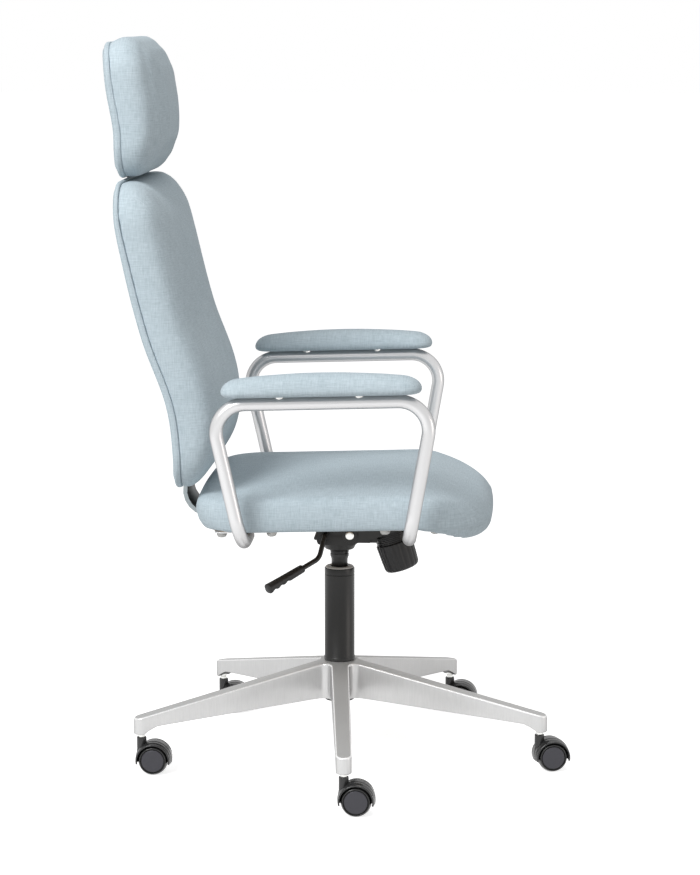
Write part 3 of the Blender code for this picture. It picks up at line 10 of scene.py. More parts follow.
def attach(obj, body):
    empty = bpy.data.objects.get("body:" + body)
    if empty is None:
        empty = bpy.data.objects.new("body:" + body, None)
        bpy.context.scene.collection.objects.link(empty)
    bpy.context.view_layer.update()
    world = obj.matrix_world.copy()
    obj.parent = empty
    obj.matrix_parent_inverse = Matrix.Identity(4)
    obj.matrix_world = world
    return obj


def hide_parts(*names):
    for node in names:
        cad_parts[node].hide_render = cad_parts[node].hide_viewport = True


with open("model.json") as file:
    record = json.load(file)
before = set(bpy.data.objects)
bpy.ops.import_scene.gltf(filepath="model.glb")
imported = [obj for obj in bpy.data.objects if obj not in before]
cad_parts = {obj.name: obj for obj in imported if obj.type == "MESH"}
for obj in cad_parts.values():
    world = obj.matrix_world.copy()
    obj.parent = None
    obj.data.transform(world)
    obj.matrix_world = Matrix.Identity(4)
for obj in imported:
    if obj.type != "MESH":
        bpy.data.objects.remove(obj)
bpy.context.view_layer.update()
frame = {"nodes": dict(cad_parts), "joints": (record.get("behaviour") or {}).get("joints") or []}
nodes = frame["nodes"]
scene = bpy.context.scene
print("frame loaded:", len(nodes), "nodes")

joints = {joint["name"]: joint for joint in frame["joints"]}
columnX, columnY = joints["column_swivel"]["pos_m"][:2]
tiltPoint = Vector(joints["seat_tilt"]["pos_m"])
knobTop = Vector(joints["tension_turn"]["pos_m"])
leverPoint = Vector(joints["lever_pull"]["pos_m"])
seatPitch = radians(1.6)                            # front of the seat up at rest
columnAt = Matrix.Translation((columnX, columnY, 0.0))
tiltAt = Matrix.Translation(tiltPoint) @ Matrix.Rotation(-seatPitch, 4, "X")
fit = 0.0003                                        # clearance of fitted pieces
tiny = 1e-5                                         # radius of a closed end


def clamp(value):
    return min(max(value, 0.0), 1.0)


# node maths

class Wire:                                         # a socket that works in sums
    def __init__(self, board, socket):
        self.board, self.socket = board, socket

    def sum(self, operation, other=0.0, flipped=False):
        first, second = (other, self) if flipped else (self, other)
        return self.board.add("ShaderNodeMath", {"operation": operation}, {0: first, 1: second})

    def __add__(self, other):
        return self.sum("ADD", other)

    def __sub__(self, other):
        return self.sum("SUBTRACT", other)

    def __rsub__(self, other):
        return self.sum("SUBTRACT", other, True)

    def __mul__(self, other):
        return self.sum("MULTIPLY", other)

    def __truediv__(self, other):
        return self.sum("DIVIDE", other)

    def __rtruediv__(self, other):
        return self.sum("DIVIDE", other, True)

    def __gt__(self, other):
        return self.sum("GREATER_THAN", other)

    __radd__, __rmul__ = __add__, __mul__


class Board:                                        # adds any node: type, settings, inputs
    def __init__(self, tree):
        self.tree = tree

    def add(self, kind, settings=None, inputs=None, out=0):
        node = self.tree.nodes.new(kind)
        for name, value in (settings or {}).items():
            setattr(node, name, value)
        for key, value in (inputs or {}).items():
            if isinstance(value, Wire):
                self.tree.links.new(value.socket, node.inputs[key])
            else:
                node.inputs[key].default_value = value
        return Wire(self, node.outputs[out]) if node.outputs else None

    def part(self, vector, axis):
        return self.add("ShaderNodeSeparateXYZ", None, {0: vector}, axis)

    def shown(self):                                # 1 for what the eye sees, straight or mirrored
        rays = [self.add("ShaderNodeLightPath", out=f"Is {ray} Ray")
                for ray in ("Camera", "Glossy", "Transmission")]
        return rays[0].sum("MAXIMUM", rays[1]).sum("MAXIMUM", rays[2])

    def blend(self, factor, low, high):
        settings = {"data_type": "RGBA", "blend_type": "MIX"}
        return self.add("ShaderNodeMix", settings, {0: factor, 6: low, 7: high}, 2)

    def noise(self, vector, scale, detail=2.0, roughness=0.5):
        values = {"Vector": vector, "Scale": scale, "Detail": detail, "Roughness": roughness}
        return self.add("ShaderNodeTexNoise", None, values, "Fac")

    def stretched(self, vector, scales):
        return self.add("ShaderNodeMapping", None, {"Vector": vector, "Scale": scales})


def newLook(name, colour, roughness, metallic=0.0, **sockets):
    look = bpy.data.materials.new(name)
    look.use_nodes = True
    look.diffuse_color = (*colour, 1.0)
    shader = look.node_tree.nodes["Principled BSDF"]
    values = {"Base Color": (*colour, 1.0), "Roughness": roughness, "Metallic": metallic}
    values.update(sockets)
    for key, value in values.items():
        shader.inputs[key].default_value = value
    return look, Board(look.node_tree), shader


def feed(board, shader, **wires):
    for key, wire in wires.items():
        board.tree.links.new(wire.socket, shader.inputs[key.replace("_", " ")])


def raised(board, height, strength, distance):
    return board.add("ShaderNodeBump", None, {"Height": height, "Strength": strength, "Distance": distance})


# finishes

fabricLook = {"base": (0.47, 0.545, 0.58), "dark": (0.325, 0.402, 0.444, 1),
              "light": (0.585, 0.672, 0.722, 1), "rough": 0.9, "threadPitch": 0.0013, "streakFine": 540.0,
              "streakLong": 54.0, "streakWeight": 1.0, "weaveWeight": 0.10, "cloud": 7.0,
              "cloudWeight": 0.28, "bump": 0.26, "bumpHigh": 0.0006}
fabricSheen = {"Sheen Weight": 0.16, "Sheen Roughness": 0.45, "Sheen Tint": (0.86, 0.94, 1.0, 1.0),
               "Specular IOR Level": 0.25}


def wovenFabric(name):
    s = fabricLook
    look, board, shader = newLook(name, s["base"], s["rough"], **fabricSheen)
    where = board.add("ShaderNodeTexCoord", out="Object")
    facing = board.add("ShaderNodeTexCoord", out="Normal")
    x, y, z = (board.part(where, axis) for axis in range(3))
    nx, ny, nz = (board.part(facing, axis).sum("ABSOLUTE") for axis in range(3))
    top = nz > nx.sum("MAXIMUM", ny)                # each cut panel has its own grain
    side = (nx > ny) * (1 - top)
    across = x * (1 - side) + y * side
    along = z * (1 - top) + y * top
    cloth = board.add("ShaderNodeCombineXYZ", None, {0: across, 1: along})
    fine, long = s["streakFine"], s["streakLong"]
    warp = board.noise(board.stretched(cloth, (fine, long, 1.0)), 1.0, 3.0, 0.6)
    weft = board.noise(board.stretched(cloth, (long, fine, 1.0)), 1.0, 3.0, 0.6)
    turn = 2 * pi / s["threadPitch"]
    weave = (across * turn).sum("SINE") * (along * turn).sum("SINE")
    cloudy = board.noise(where, s["cloud"], 3.0)
    streak = (warp + weft - 1.0) * s["streakWeight"]
    shade = 0.5 + streak + weave * s["weaveWeight"] + (cloudy - 0.5) * s["cloudWeight"]
    shade = shade.sum("MINIMUM", 1.0).sum("MAXIMUM", 0.0)
    feed(board, shader, Base_Color=board.blend(shade, s["dark"], s["light"]),
         Normal=raised(board, weave * 0.5 + warp + weft, s["bump"], s["bumpHigh"]))
    return look


metalGrain = {"broad": 9.0, "dull": 0.08, "high": 0.0003}


def metalLook(name, colour, roughness, metallic, grain, bump, streaks=None, swing=0.06, gloss=0.5, rim=1.0):
    s = metalGrain
    look, board, shader = newLook(name, colour, roughness, metallic, **{
        "Specular IOR Level": gloss, "Specular Tint": (rim, rim, rim, 1.0)})
    where = board.add("ShaderNodeTexCoord", out="Object")
    fine = board.noise(where, grain, 3.0, 0.6)
    broad = board.noise(where, s["broad"], 3.0)
    if streaks:
        fine = board.noise(board.stretched(where, streaks), 1.0, 2.0) * 0.6 + fine * 0.4
    dim = tuple(c * (1 - swing) for c in colour) + (1,)
    lit = tuple(min(c * (1 + swing), 1.0) for c in colour) + (1,)
    feed(board, shader, Base_Color=board.blend(fine * 0.6 + broad * 0.4, dim, lit),
         Roughness=roughness - s["dull"] + (fine + broad) * s["dull"],
         Normal=raised(board, fine, bump, s["high"]))
    return look


mouldedGrain = {"broad": 22.0, "dull": 0.07, "high": 0.0002, "pale": 1.35, "deep": 0.85, "dust": 0.004}


def mouldedLook(name, colour, roughness, grain, bump, scuff=0.0, gloss=0.30):
    s = mouldedGrain
    look, board, shader = newLook(name, colour, roughness, 0.0, **{"Specular IOR Level": gloss})
    where = board.add("ShaderNodeTexCoord", out="Object")
    fine = board.noise(where, grain, 2.0, 0.6)
    broad = board.noise(where, s["broad"], 4.0)
    pale = tuple(c * (s["pale"] + scuff) + s["dust"] for c in colour) + (1,)
    deep = tuple(c * s["deep"] for c in colour) + (1,)
    feed(board, shader, Base_Color=board.blend(fine * 0.45 + broad * 0.4, deep, pale),
         Roughness=roughness - s["dull"] + broad * (2 * s["dull"]),
         Normal=raised(board, fine, bump, s["high"]))
    return look


def boardLook(name):
    look, board, shader = newLook(name, (0.55, 0.42, 0.28), 0.65)
    where = board.add("ShaderNodeTexCoord", out="Object")
    grain = board.noise(board.stretched(where, (9.0, 160.0, 160.0)), 1.0, 4.0, 0.65)
    feed(board, shader, Base_Color=board.blend(grain, (0.40, 0.28, 0.17, 1), (0.66, 0.52, 0.36, 1)),
         Roughness=0.55 + grain * 0.2, Normal=raised(board, grain, 0.15, 0.0004))
    return look


fabric = wovenFabric("blueGreyFabric")
brushed = (420.0, 420.0, 40.0)
aluminium = metalLook("castAluminium", (0.60, 0.60, 0.599), 0.33, 0.56, 900.0, 0.16, brushed, 0.22, 0.6, 0.05)
# painted shade: a darker, rougher copy of the aluminium for the tops of the legs
castTopPaintedShade = metalLook("castAluminiumTopPaintedShade", (0.44, 0.44, 0.437), 0.42, 0.14, 900.0, 0.20, None, 0.26, 0.6)
# painted highlight: a bright copy of the aluminium for the rounded top edges
castEdgePaintedHighlight = metalLook("castAluminiumEdgePaintedHighlight", (0.84, 0.84, 0.84), 0.26, 0.30, 900.0, 0.06, None, 0.06, 1.0)
# painted shade: a dark copy of the aluminium for the faces that look down
castUnderPaintedShade = metalLook("castAluminiumUnderPaintedShade", (0.20, 0.20, 0.20), 0.50, 0.14, 900.0, 0.20, None, 0.20, 0.4)
silver = metalLook("silverCoatedSteel", (0.65, 0.65, 0.655), 0.30, 0.62, 1400.0, 0.05, None, 0.05, 0.35, 0.05)
blackSteel = mouldedLook("blackSteel", (0.014, 0.0138, 0.0132), 0.38, 1500.0, 0.04)
blackPlastic = mouldedLook("blackPlastic", (0.016, 0.016, 0.0165), 0.42, 1100.0, 0.12)
castorPlastic = mouldedLook("castorPlastic", (0.015, 0.015, 0.0155), 0.24, 1000.0, 0.06, 0.2, 0.47)
wheelPlastic = mouldedLook("wheelPlastic", (0.040, 0.0395, 0.0475), 0.42, 900.0, 0.10, 0.2, 0.38)
greyPlastic = mouldedLook("greyPlastic", (0.74, 0.74, 0.73), 0.45, 700.0, 0.05)
columnSteel = mouldedLook("columnSteel", (0.011, 0.0108, 0.0103), 0.34, 1500.0, 0.03, 0.0, 0.34)
boltSteel = metalLook("boltSteel", (0.40, 0.40, 0.39), 0.32, 0.5, 700.0, 0.05, None, 0.10, 0.5, 0.25)
zinc = metalLook("zincSteel", (0.74, 0.74, 0.72), 0.28, 1.0, 700.0, 0.05)
slate = mouldedLook("slateCoatedSteel", (0.33, 0.37, 0.385), 0.48, 900.0, 0.08)
birch = boardLook("birchBoard")
print("finishes ready")


# mesh helpers

def meshOf(work, name, recalc=True):
    bmesh.ops.remove_doubles(work, verts=work.verts, dist=1e-6)
    if recalc:
        bmesh.ops.recalc_face_normals(work, faces=work.faces)
    mesh = bpy.data.meshes.new(name)
    work.to_mesh(mesh)
    work.free()
    return mesh


def opened(mesh):
    work = bmesh.new()
    work.from_mesh(mesh)
    return work


def skin(rings, name, capStart=True, capEnd=True):
    work = bmesh.new()
    rows = [[work.verts.new(point) for point in ring] for ring in rings]
    count = len(rows[0])
    for low, high in zip(rows, rows[1:]):
        for i in range(count):
            work.faces.new((low[i], low[(i + 1) % count], high[(i + 1) % count], high[i]))
    for wanted, row in ((capStart, rows[0]), (capEnd, rows[-1])):
        if wanted:
            middle = work.verts.new(sum((vert.co for vert in row), Vector()) / count)
            for i in range(count):
                work.faces.new((row[i], row[(i + 1) % count], middle))
    return meshOf(work, name)


def polar(radius, angle, height):
    return Vector((radius * cos(angle), radius * sin(angle), height))


def lathe(profile, name, steps=64, closed=False):
    points = list(profile) + ([profile[0]] if closed else [])
    rings = [[polar(max(radius, tiny), 2 * pi * i / steps, height) for i in range(steps)]
             for radius, height in points]
    return skin(rings, name, not closed, not closed)


def near(radius, height, *steps):                   # profile points beside a given one
    return [(radius + out, height + up) for out, up in steps]


def softened(profile, radius, steps=4):
    # rounds every inner corner of an open (radius, height) line
    line = [Vector((r, z, 0.0)) for r, z in profile]
    result = [line[0]]
    for before, corner, after in zip(line, line[1:], line[2:]):
        reach = min(radius, (corner - before).length * 0.45, (after - corner).length * 0.45)
        start = corner + (before - corner).normalized() * reach
        end = corner + (after - corner).normalized() * reach
        for step in range(steps + 1):
            t = step / steps
            result.append(start * (1 - t)**2 + corner * 2 * t * (1 - t) + end * t**2)
    result.append(line[-1])
    return [(point.x, point.y) for point in result]


def roundedPath(corners, radii, steps=14):
    corners = [Vector(corner) for corner in corners]
    path = [corners[0]]
    for before, corner, after, radius in zip(corners, corners[1:], corners[2:], radii):
        arrive = (corner - before).normalized()
        leave = (after - corner).normalized()
        bend = arrive.angle(leave)
        middle = corner + (leave - arrive).normalized() * (radius / cos(bend / 2))
        start = corner - arrive * (radius * tan(bend / 2)) - middle
        axis = arrive.cross(leave).normalized()
        path += [middle + Matrix.Rotation(bend * step / steps, 3, axis) @ start for step in range(steps + 1)]
    path.append(corners[-1])
    return path


def sweep(path, outline, name, grow=None):
    # carries an (across, up) outline along a path; grow(share) scales it
    path = [Vector(point) for point in path]
    rings, side = [], None
    total = sum((b - a).length for a, b in zip(path, path[1:]))
    run = 0.0
    for i, point in enumerate(path):
        along = (path[min(i + 1, len(path) - 1)] - path[max(i - 1, 0)]).normalized()
        if side is None:
            side = along.cross(Vector((0, 0, 1)))
            side = side.normalized() if side.length > 1e-4 else Vector((1, 0, 0))
        side = (side - along * side.dot(along)).normalized()
        up = side.cross(along)
        if i:
            run += (point - path[i - 1]).length
        size = grow(run / total) if grow else (1.0, 1.0)
        rings.append([point + side * (a * size[0]) + up * (b * size[1]) for a, b in outline])
    return skin(rings, name)


def circle(radius, steps=32):
    return [(radius * cos(2 * pi * i / steps), radius * sin(2 * pi * i / steps)) for i in range(steps)]


def roundedRing(halfX, halfY, rearCorner, frontCorner, cornerSteps=14, sideSteps=24):
    arcs, ring = [], []
    for quarter, (signX, signY) in enumerate(((1, 1), (-1, 1), (-1, -1), (1, -1))):
        radius = min(rearCorner if signY > 0 else frontCorner, halfX, halfY)
        arc = []
        for step in range(cornerSteps + 1):
            angle = (quarter + step / cornerSteps) * pi / 2
            arc.append((signX * (halfX - radius) + radius * cos(angle),
                        signY * (halfY - radius) + radius * sin(angle)))
        arcs.append(arc)
    for arc, after in zip(arcs, arcs[1:] + arcs[:1]):
        (x0, y0), (x1, y1) = arc[-1], after[0]
        ring += arc
        ring += [(x0 + (x1 - x0) * s / sideSteps, y0 + (y1 - y0) * s / sideSteps)
                 for s in range(1, sideSteps)]
    return ring


def hermite(t):
    return 2 * t**3 - 3 * t**2 + 1, t**3 - 2 * t**2 + t, 3 * t**2 - 2 * t**3, t**3 - t**2


def smoothLine(points, height):
    # depth and slope of a smooth line through (depth, height) points
    i = next((k for k in range(len(points) - 1) if height <= points[k + 1][1]), len(points) - 2)
    slopes = []
    for k in (i, i + 1):
        low, high = points[max(k - 1, 0)], points[min(k + 1, len(points) - 1)]
        slopes.append((high[0] - low[0]) / (high[1] - low[1]))
    (y0, z0), (y1, z1) = points[i], points[i + 1]
    span = z1 - z0
    t = (height - z0) / span
    a, b, c, d = hermite(t)
    depth = a * y0 + b * span * slopes[0] + c * y1 + d * span * slopes[1]
    slope = ((6 * t**2 - 6 * t) * (y0 - y1) / span + (3 * t**2 - 4 * t + 1) * slopes[0]
             + (3 * t**2 - 2 * t) * slopes[1])
    return depth, slope


def finer(layers, steps=4):
    # more layers on a smooth line through the given ones
    result = []
    for i in range(len(layers) - 1):
        a, b, c, d = (Vector(layers[min(max(k, 0), len(layers) - 1)]) for k in (i - 1, i, i + 1, i + 2))
        reach = (c - b).length
        slopeB, slopeC = ((end - start).normalized() * reach for start, end in ((a, c), (b, d)))
        for step in range(steps):
            atB, outB, atC, outC = hermite(step / steps)
            result.append(tuple(b * atB + slopeB * outB + c * atC + slopeC * outC))
    result.append(layers[-1])
    return result


tightCorner = 0.012


def pillowRings(halfX, halfY, corners, layers, place, fuller=0.0, cornerSteps=14):
    # fuller brings the inner rings nearer to the two ends
    sections = []
    for amount, rise in layers:
        rear, front = (max(corner - amount * 0.7, tightCorner) for corner in corners)
        ends = halfY - amount + max(amount - 0.008, 0.0) * (fuller if rise > 0 else 0.0)
        ring = roundedRing(halfX - amount, ends, rear, front, cornerSteps)
        sections.append([place(x, y, rise) for x, y in ring])
    return sections


def benchObject(mesh, name="bench"):
    obj = bpy.data.objects.new(name, mesh)
    scene.collection.objects.link(obj)
    return obj


def applied(obj):
    bpy.context.view_layer.update()
    graph = bpy.context.evaluated_depsgraph_get()
    mesh = bpy.data.meshes.new_from_object(obj.evaluated_get(graph))
    bpy.data.objects.remove(obj, do_unlink=True)
    return mesh


def bevelled(mesh, width, segments=2, angle=32.0):
    obj = benchObject(mesh)
    edge = obj.modifiers.new("edges", "BEVEL")
    edge.width, edge.segments, edge.limit_method, edge.angle_limit = width, segments, "ANGLE", radians(angle)
    return applied(obj)


def dressed(node, width, segments=2, angle=32.0):
    # a node's own shape with welded corners and rounded edges
    work = opened(nodes[node].data)
    bmesh.ops.remove_doubles(work, verts=work.verts, dist=1e-5)
    bmesh.ops.dissolve_limit(work, angle_limit=radians(0.5), verts=work.verts, edges=work.edges)
    mesh = meshOf(work, node)
    mesh.materials.clear()
    return bevelled(mesh, width, segments, angle)


def piece(name, mesh, looks, body, replaced=(), sharp=38.0):
    looks = looks if isinstance(looks, (list, tuple)) else [looks]
    marks = np.zeros(len(mesh.polygons), dtype=np.int32)
    mesh.polygons.foreach_get("material_index", marks)
    mesh.materials.clear()
    for look in looks:
        mesh.materials.append(look)
    mesh.polygons.foreach_set("material_index", np.minimum(marks, len(looks) - 1))
    mesh.shade_smooth()
    mesh.set_sharp_from_angle(angle=radians(sharp))
    obj = benchObject(mesh, name)
    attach(obj, body)
    if replaced:
        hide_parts(*replaced)
    return obj


def joined(meshes, name):
    work = bmesh.new()
    for mesh in meshes:
        work.from_mesh(mesh)
    mesh = bpy.data.meshes.new(name)
    work.to_mesh(mesh)
    work.free()
    return mesh


def placed(mesh, matrix):
    mesh.transform(matrix)
    if matrix.determinant() < 0:
        mesh.flip_normals()
    return mesh


# repeats by Geometry Nodes

def repeatTree(name):
    # copies one made shape onto points, turned by each point's own angle about an axis
    tree = bpy.data.node_groups.new(name, "GeometryNodeTree")
    for socket, way, kind in (("Geometry", "INPUT", "Geometry"), ("Shape", "INPUT", "Object"),
                              ("Size", "INPUT", "Float"), ("Finish", "INPUT", "Material"),
                              ("Geometry", "OUTPUT", "Geometry")):
        tree.interface.new_socket(socket, in_out=way, socket_type="NodeSocket" + kind)
    board = Board(tree)
    points, shape, size, finishIn = (board.add("NodeGroupInput", out=k) for k in range(4))
    template = board.add("GeometryNodeObjectInfo", {"transform_space": "ORIGINAL"}, {"Object": shape},
                         "Geometry")
    turn = board.add("GeometryNodeInputNamedAttribute", {"data_type": "FLOAT_VECTOR"}, {"Name": "turn"})
    spots = board.add("GeometryNodeMeshToPoints", None, {"Mesh": points})
    copies = board.add("GeometryNodeInstanceOnPoints", None, {"Points": spots, "Instance": template,
                                                              "Rotation": turn, "Scale": size})
    whole = board.add("GeometryNodeRealizeInstances", None, {"Geometry": copies})
    coated = board.add("GeometryNodeSetMaterial", None, {"Geometry": whole, "Material": finishIn})
    board.add("NodeGroupOutput", None, {0: coated})
    return tree


repeatOnPoints = repeatTree("repeatOnPoints")


def repeated(shape, spots, name, look, matrix=Matrix.Identity(4), size=1.0):
    # spots: (x, y, z, turn about x, y, z)
    cloud = bpy.data.meshes.new(name)
    cloud.from_pydata([spot[:3] for spot in spots], [], [])
    turns = cloud.attributes.new("turn", "FLOAT_VECTOR", "POINT")
    for item, spot in zip(turns.data, spots):
        item.vector = spot[3:6]
    template = benchObject(shape, name + "Shape")
    obj = benchObject(cloud, name)
    step = obj.modifiers.new("repeat", "NODES")
    step.node_group = repeatOnPoints
    values = {"Shape": template, "Size": size, "Finish": look}
    for item in repeatOnPoints.interface.items_tree:
        if item.in_out == "INPUT" and item.name in values:
            step[item.identifier] = values[item.name]
    mesh = applied(obj)
    bpy.data.objects.remove(template, do_unlink=True)
    return placed(mesh, matrix)


# base

baseSizes = {"turn": radians(4.6), "legs": 5, "stemCircle": 0.3547, "bossRadius": 0.0129, "hubHalf": 0.0155,
             "crotch": 0.015, "bore": 0.0253, "tubeRadius": 0.025, "bossBase": 0.0680, "tipTop": 0.0985,
             "rise": 0.0705, "hubDepth": 0.064, "tipDepth": 0.0165, "bossInside": 0.0078, "heel": 0.026,
             "edge": 0.0030, "lowEdge": 0.0012, "wall": 0.004, "rim": 0.0035, "step": 0.0004, "sideSteps": 26,
             "tipSteps": 20, "crotchSteps": 20}
paintedLightBands = {"top": 0.93, "edge": 0.20, "under": -0.45}   # how far a face looks up for each painted band: painted shade on tops and undersides, painted highlight on edges


def baseMesh():
    s = baseSizes
    halfAngle = pi / s["legs"]
    stem, boss, crotch = s["stemCircle"], s["bossRadius"], s["crotch"]
    taper = atan((s["hubHalf"] - boss) / stem)
    reach = (crotch / cos(taper) + s["hubHalf"]) / (sin(halfAngle) + cos(halfAngle) * tan(taper))
    fillet = Vector((reach * cos(halfAngle), reach * sin(halfAngle)))
    heelEnd = stem - s["bossInside"]
    heelStart = heelEnd - s["heel"]
    hubTop, tipBase = s["tipTop"] + s["rise"], s["tipTop"] - s["tipDepth"]
    hubBase, hubFlat = hubTop - s["hubDepth"], s["hubHalf"] * 3
    channelStart, channelEnd = s["hubHalf"] * 3.6, heelStart - s["wall"]

    def topHeight(r):
        return s["tipTop"] + s["rise"] * (stem - r) / (stem - s["tubeRadius"])

    def lowHeight(r):
        if r >= heelEnd:
            return s["bossBase"]
        if r >= heelStart:
            swing = (r - heelStart) / s["heel"]
            return tipBase - (tipBase - s["bossBase"]) * (1 - sqrt(max(1 - swing**2, 0.0)))
        return hubBase + (tipBase - hubBase) * clamp((r - hubFlat) / (heelStart - hubFlat))

    def onArc(middle, radius, swing):
        return middle + Vector((radius * cos(swing), radius * sin(swing)))

    outline = []                                    # edge and spine point, 1 over a hollow, -1 at the hub
    tipAt = Vector((stem, 0.0))
    root = onArc(fillet, crotch, -pi / 2 - taper)
    tipEdge = Vector((stem + boss * sin(taper), boss * cos(taper)))
    far = s["bore"] + s["rim"]
    for leg in range(s["legs"]):
        turn = Matrix.Rotation(pi + s["turn"] + leg * 2 * halfAngle, 2)
        rights, lefts, tips, joins = [], [], [], []
        for step in range(s["sideSteps"]):
            p = root.lerp(tipEdge, step / s["sideSteps"])
            hollow = 1 if channelStart < p.x < channelEnd else 0
            lefts.append((p, Vector((p.x, 0.0)), hollow))
            rights.append((Vector((p.x, -p.y)), Vector((p.x, 0.0)), hollow))
        for step in range(s["tipSteps"] + 1):
            p = onArc(tipAt, boss, -pi / 2 + taper + (pi - 2 * taper) * step / s["tipSteps"])
            tips.append((p, Vector((min(p.x, stem), 0.0)), 0))
        for step in range(1, s["crotchSteps"]):
            t = step / s["crotchSteps"]
            p = onArc(fillet, crotch, -pi / 2 - taper - (pi - 2 * halfAngle - 2 * taper) * t)
            r = far + (root.x - far) * abs(2 * t - 1)**1.5
            joins.append((p, Vector((r * cos(2 * halfAngle * t), r * sin(2 * halfAngle * t))), -1))
        outline += [(turn @ p, turn @ q, hollow) for p, q, hollow in rights + tips + lefts[::-1] + joins]
    count = len(outline)
    points, spines, kinds = zip(*outline)
    inward = []
    for i in range(count):
        along = (points[(i + 1) % count] - points[i - 1]).normalized()
        inward.append(Vector((-along.y, along.x)))

    def ring(inset, height, drop=0.0):
        flats = [p + n * inset for p, n in zip(points, inward)]
        return [Vector((flat.x, flat.y, height(flat.length) + drop)) for flat in flats]

    def hollowRing(flats):                          # the roof of a hollow, or else the underside
        result = []
        for flat, kind in zip(flats, kinds):
            deep = topHeight(flat.length) - s["wall"] if kind > 0 else lowHeight(flat.length)
            result.append(Vector((flat.x, flat.y, deep)))
        return result

    rings = [[Vector((q.x, q.y, topHeight(q.length))) for q in spines]]
    for step in range(6):                           # rounded top edge
        swing = step / 5 * pi / 2
        rings.append(ring(s["edge"] * (1 - sin(swing)), topHeight, -s["edge"] * (1 - cos(swing))))
    for step in range(4):                           # small round below
        swing = step / 3 * pi / 2
        rings.append(ring(s["lowEdge"] * (1 - cos(swing)), lowHeight, s["lowEdge"] * (1 - sin(swing))))
    rings.append(ring(s["wall"], lowHeight))
    rings.append(hollowRing([p + n * (s["wall"] + s["step"]) for p, n in zip(points, inward)]))
    rings.append(hollowRing(spines))
    work = bmesh.new()
    rows = [[work.verts.new(point) for point in row] for row in rings]
    for low, high in zip(rows, rows[1:]):
        for i in range(count):
            work.faces.new((low[i], high[i], high[(i + 1) % count], low[(i + 1) % count]))
    hubRows = []
    for row, height in ((rows[0], topHeight(s["bore"])), (rows[-1], hubBase)):
        circleRow = []
        for i, (q, kind) in enumerate(zip(spines, kinds)):
            if kind < 0:
                d = q.normalized() * s["bore"]
                circleRow.append((i, work.verts.new((d.x, d.y, height))))
        hubRows.append((row, circleRow))
    perLeg = s["crotchSteps"] - 1
    for row, circleRow in hubRows:
        total = len(circleRow)
        for k, (i, inner) in enumerate(circleRow):
            j, after = circleRow[(k + 1) % total]
            if (k + 1) % perLeg:
                work.faces.new((row[i], row[j], after, inner))
            else:                                   # across a leg's root
                work.faces.new((row[i], row[(i + 1) % count], after, inner))
                if row[(i + 1) % count] is not row[j]:
                    back = row[(j - 1) % count]
                    if back is not row[(i + 1) % count]:
                        work.faces.new((row[(i + 1) % count], back, after))
                    work.faces.new((back, row[j], after))
    topCircle, lowCircle = hubRows[0][1], hubRows[1][1]
    for k in range(len(topCircle)):
        n = (k + 1) % len(topCircle)
        work.faces.new((topCircle[k][1], topCircle[n][1], lowCircle[n][1], lowCircle[k][1]))
    bmesh.ops.remove_doubles(work, verts=work.verts, dist=2e-5)
    bmesh.ops.dissolve_degenerate(work, edges=work.edges, dist=1e-6)
    return placed(meshOf(work, "baseStar"), columnAt)


baseStar = piece("baseStar", baseMesh(), [aluminium, castTopPaintedShade, castEdgePaintedHighlight, castUnderPaintedShade], "base", ["base_star"],
                 50.0)
for polygon in baseStar.data.polygons:              # brushed sides; painted highlight on the rounded top edges, painted shade on the tops and on faces that look down
    up = polygon.normal.z
    polygon.material_index = (1 if up > paintedLightBands["top"] else 2 if up > paintedLightBands["edge"]
                              else 3 if up < paintedLightBands["under"] else 0)

legAngles = [pi + baseSizes["turn"] + i * 2 * pi / baseSizes["legs"] for i in range(baseSizes["legs"])]
stemSizes = {"radius": 0.0055, "insert": 0.024, "foot": 0.017, "show": 0.0055, "neckTop": 0.0625}


def stemMesh():
    s = stemSizes
    r, show, foot = s["radius"], s["show"], -s["foot"]
    top = show + s["insert"]
    line = [(0, top)] + near(r, top, (-0.001, 0), (0, -0.003))
    line += near(r, show, (0, 0.0006), (-0.0008, 0), (-0.0008, -0.0008), (0, -0.0014))
    return lathe(line + [(r, foot), (0, foot)], "stem", 28)


stemSpots = [(*polar(baseSizes["stemCircle"], angle, stemSizes["neckTop"]), 0, 0, 0) for angle in legAngles]
piece("castorStems", repeated(stemMesh(), stemSpots, "castorStems", zinc, columnAt), zinc, "base",
      [f"castor_stem_{n}" for n in range(1, 6)])
print("base ready")


# castors

castorSizes = {"turns": [radians(turn) for turn in (0, 12, -5, 4, 0)], "axle": 0.02501, "trail": 0.0205,
               "hood": 0.0310, "well": 0.0275, "lip": 0.0261, "half": 0.0220, "crown": 0.0022,
               "skirt": 0.006, "web": 0.005, "neck": 0.0082, "neckBase": -0.0045, "pin": 0.003,
               "pinInside": 0.0035, "wheel": 0.0250, "width": 0.0175, "cap": 0.0195, "hole": 0.0038,
               "holeDeep": 0.0150, "gap": 0.0030, "steps": 44}


def filled(work, name):
    bmesh.ops.holes_fill(work, edges=[edge for edge in work.edges if edge.is_boundary])
    return meshOf(work, name)


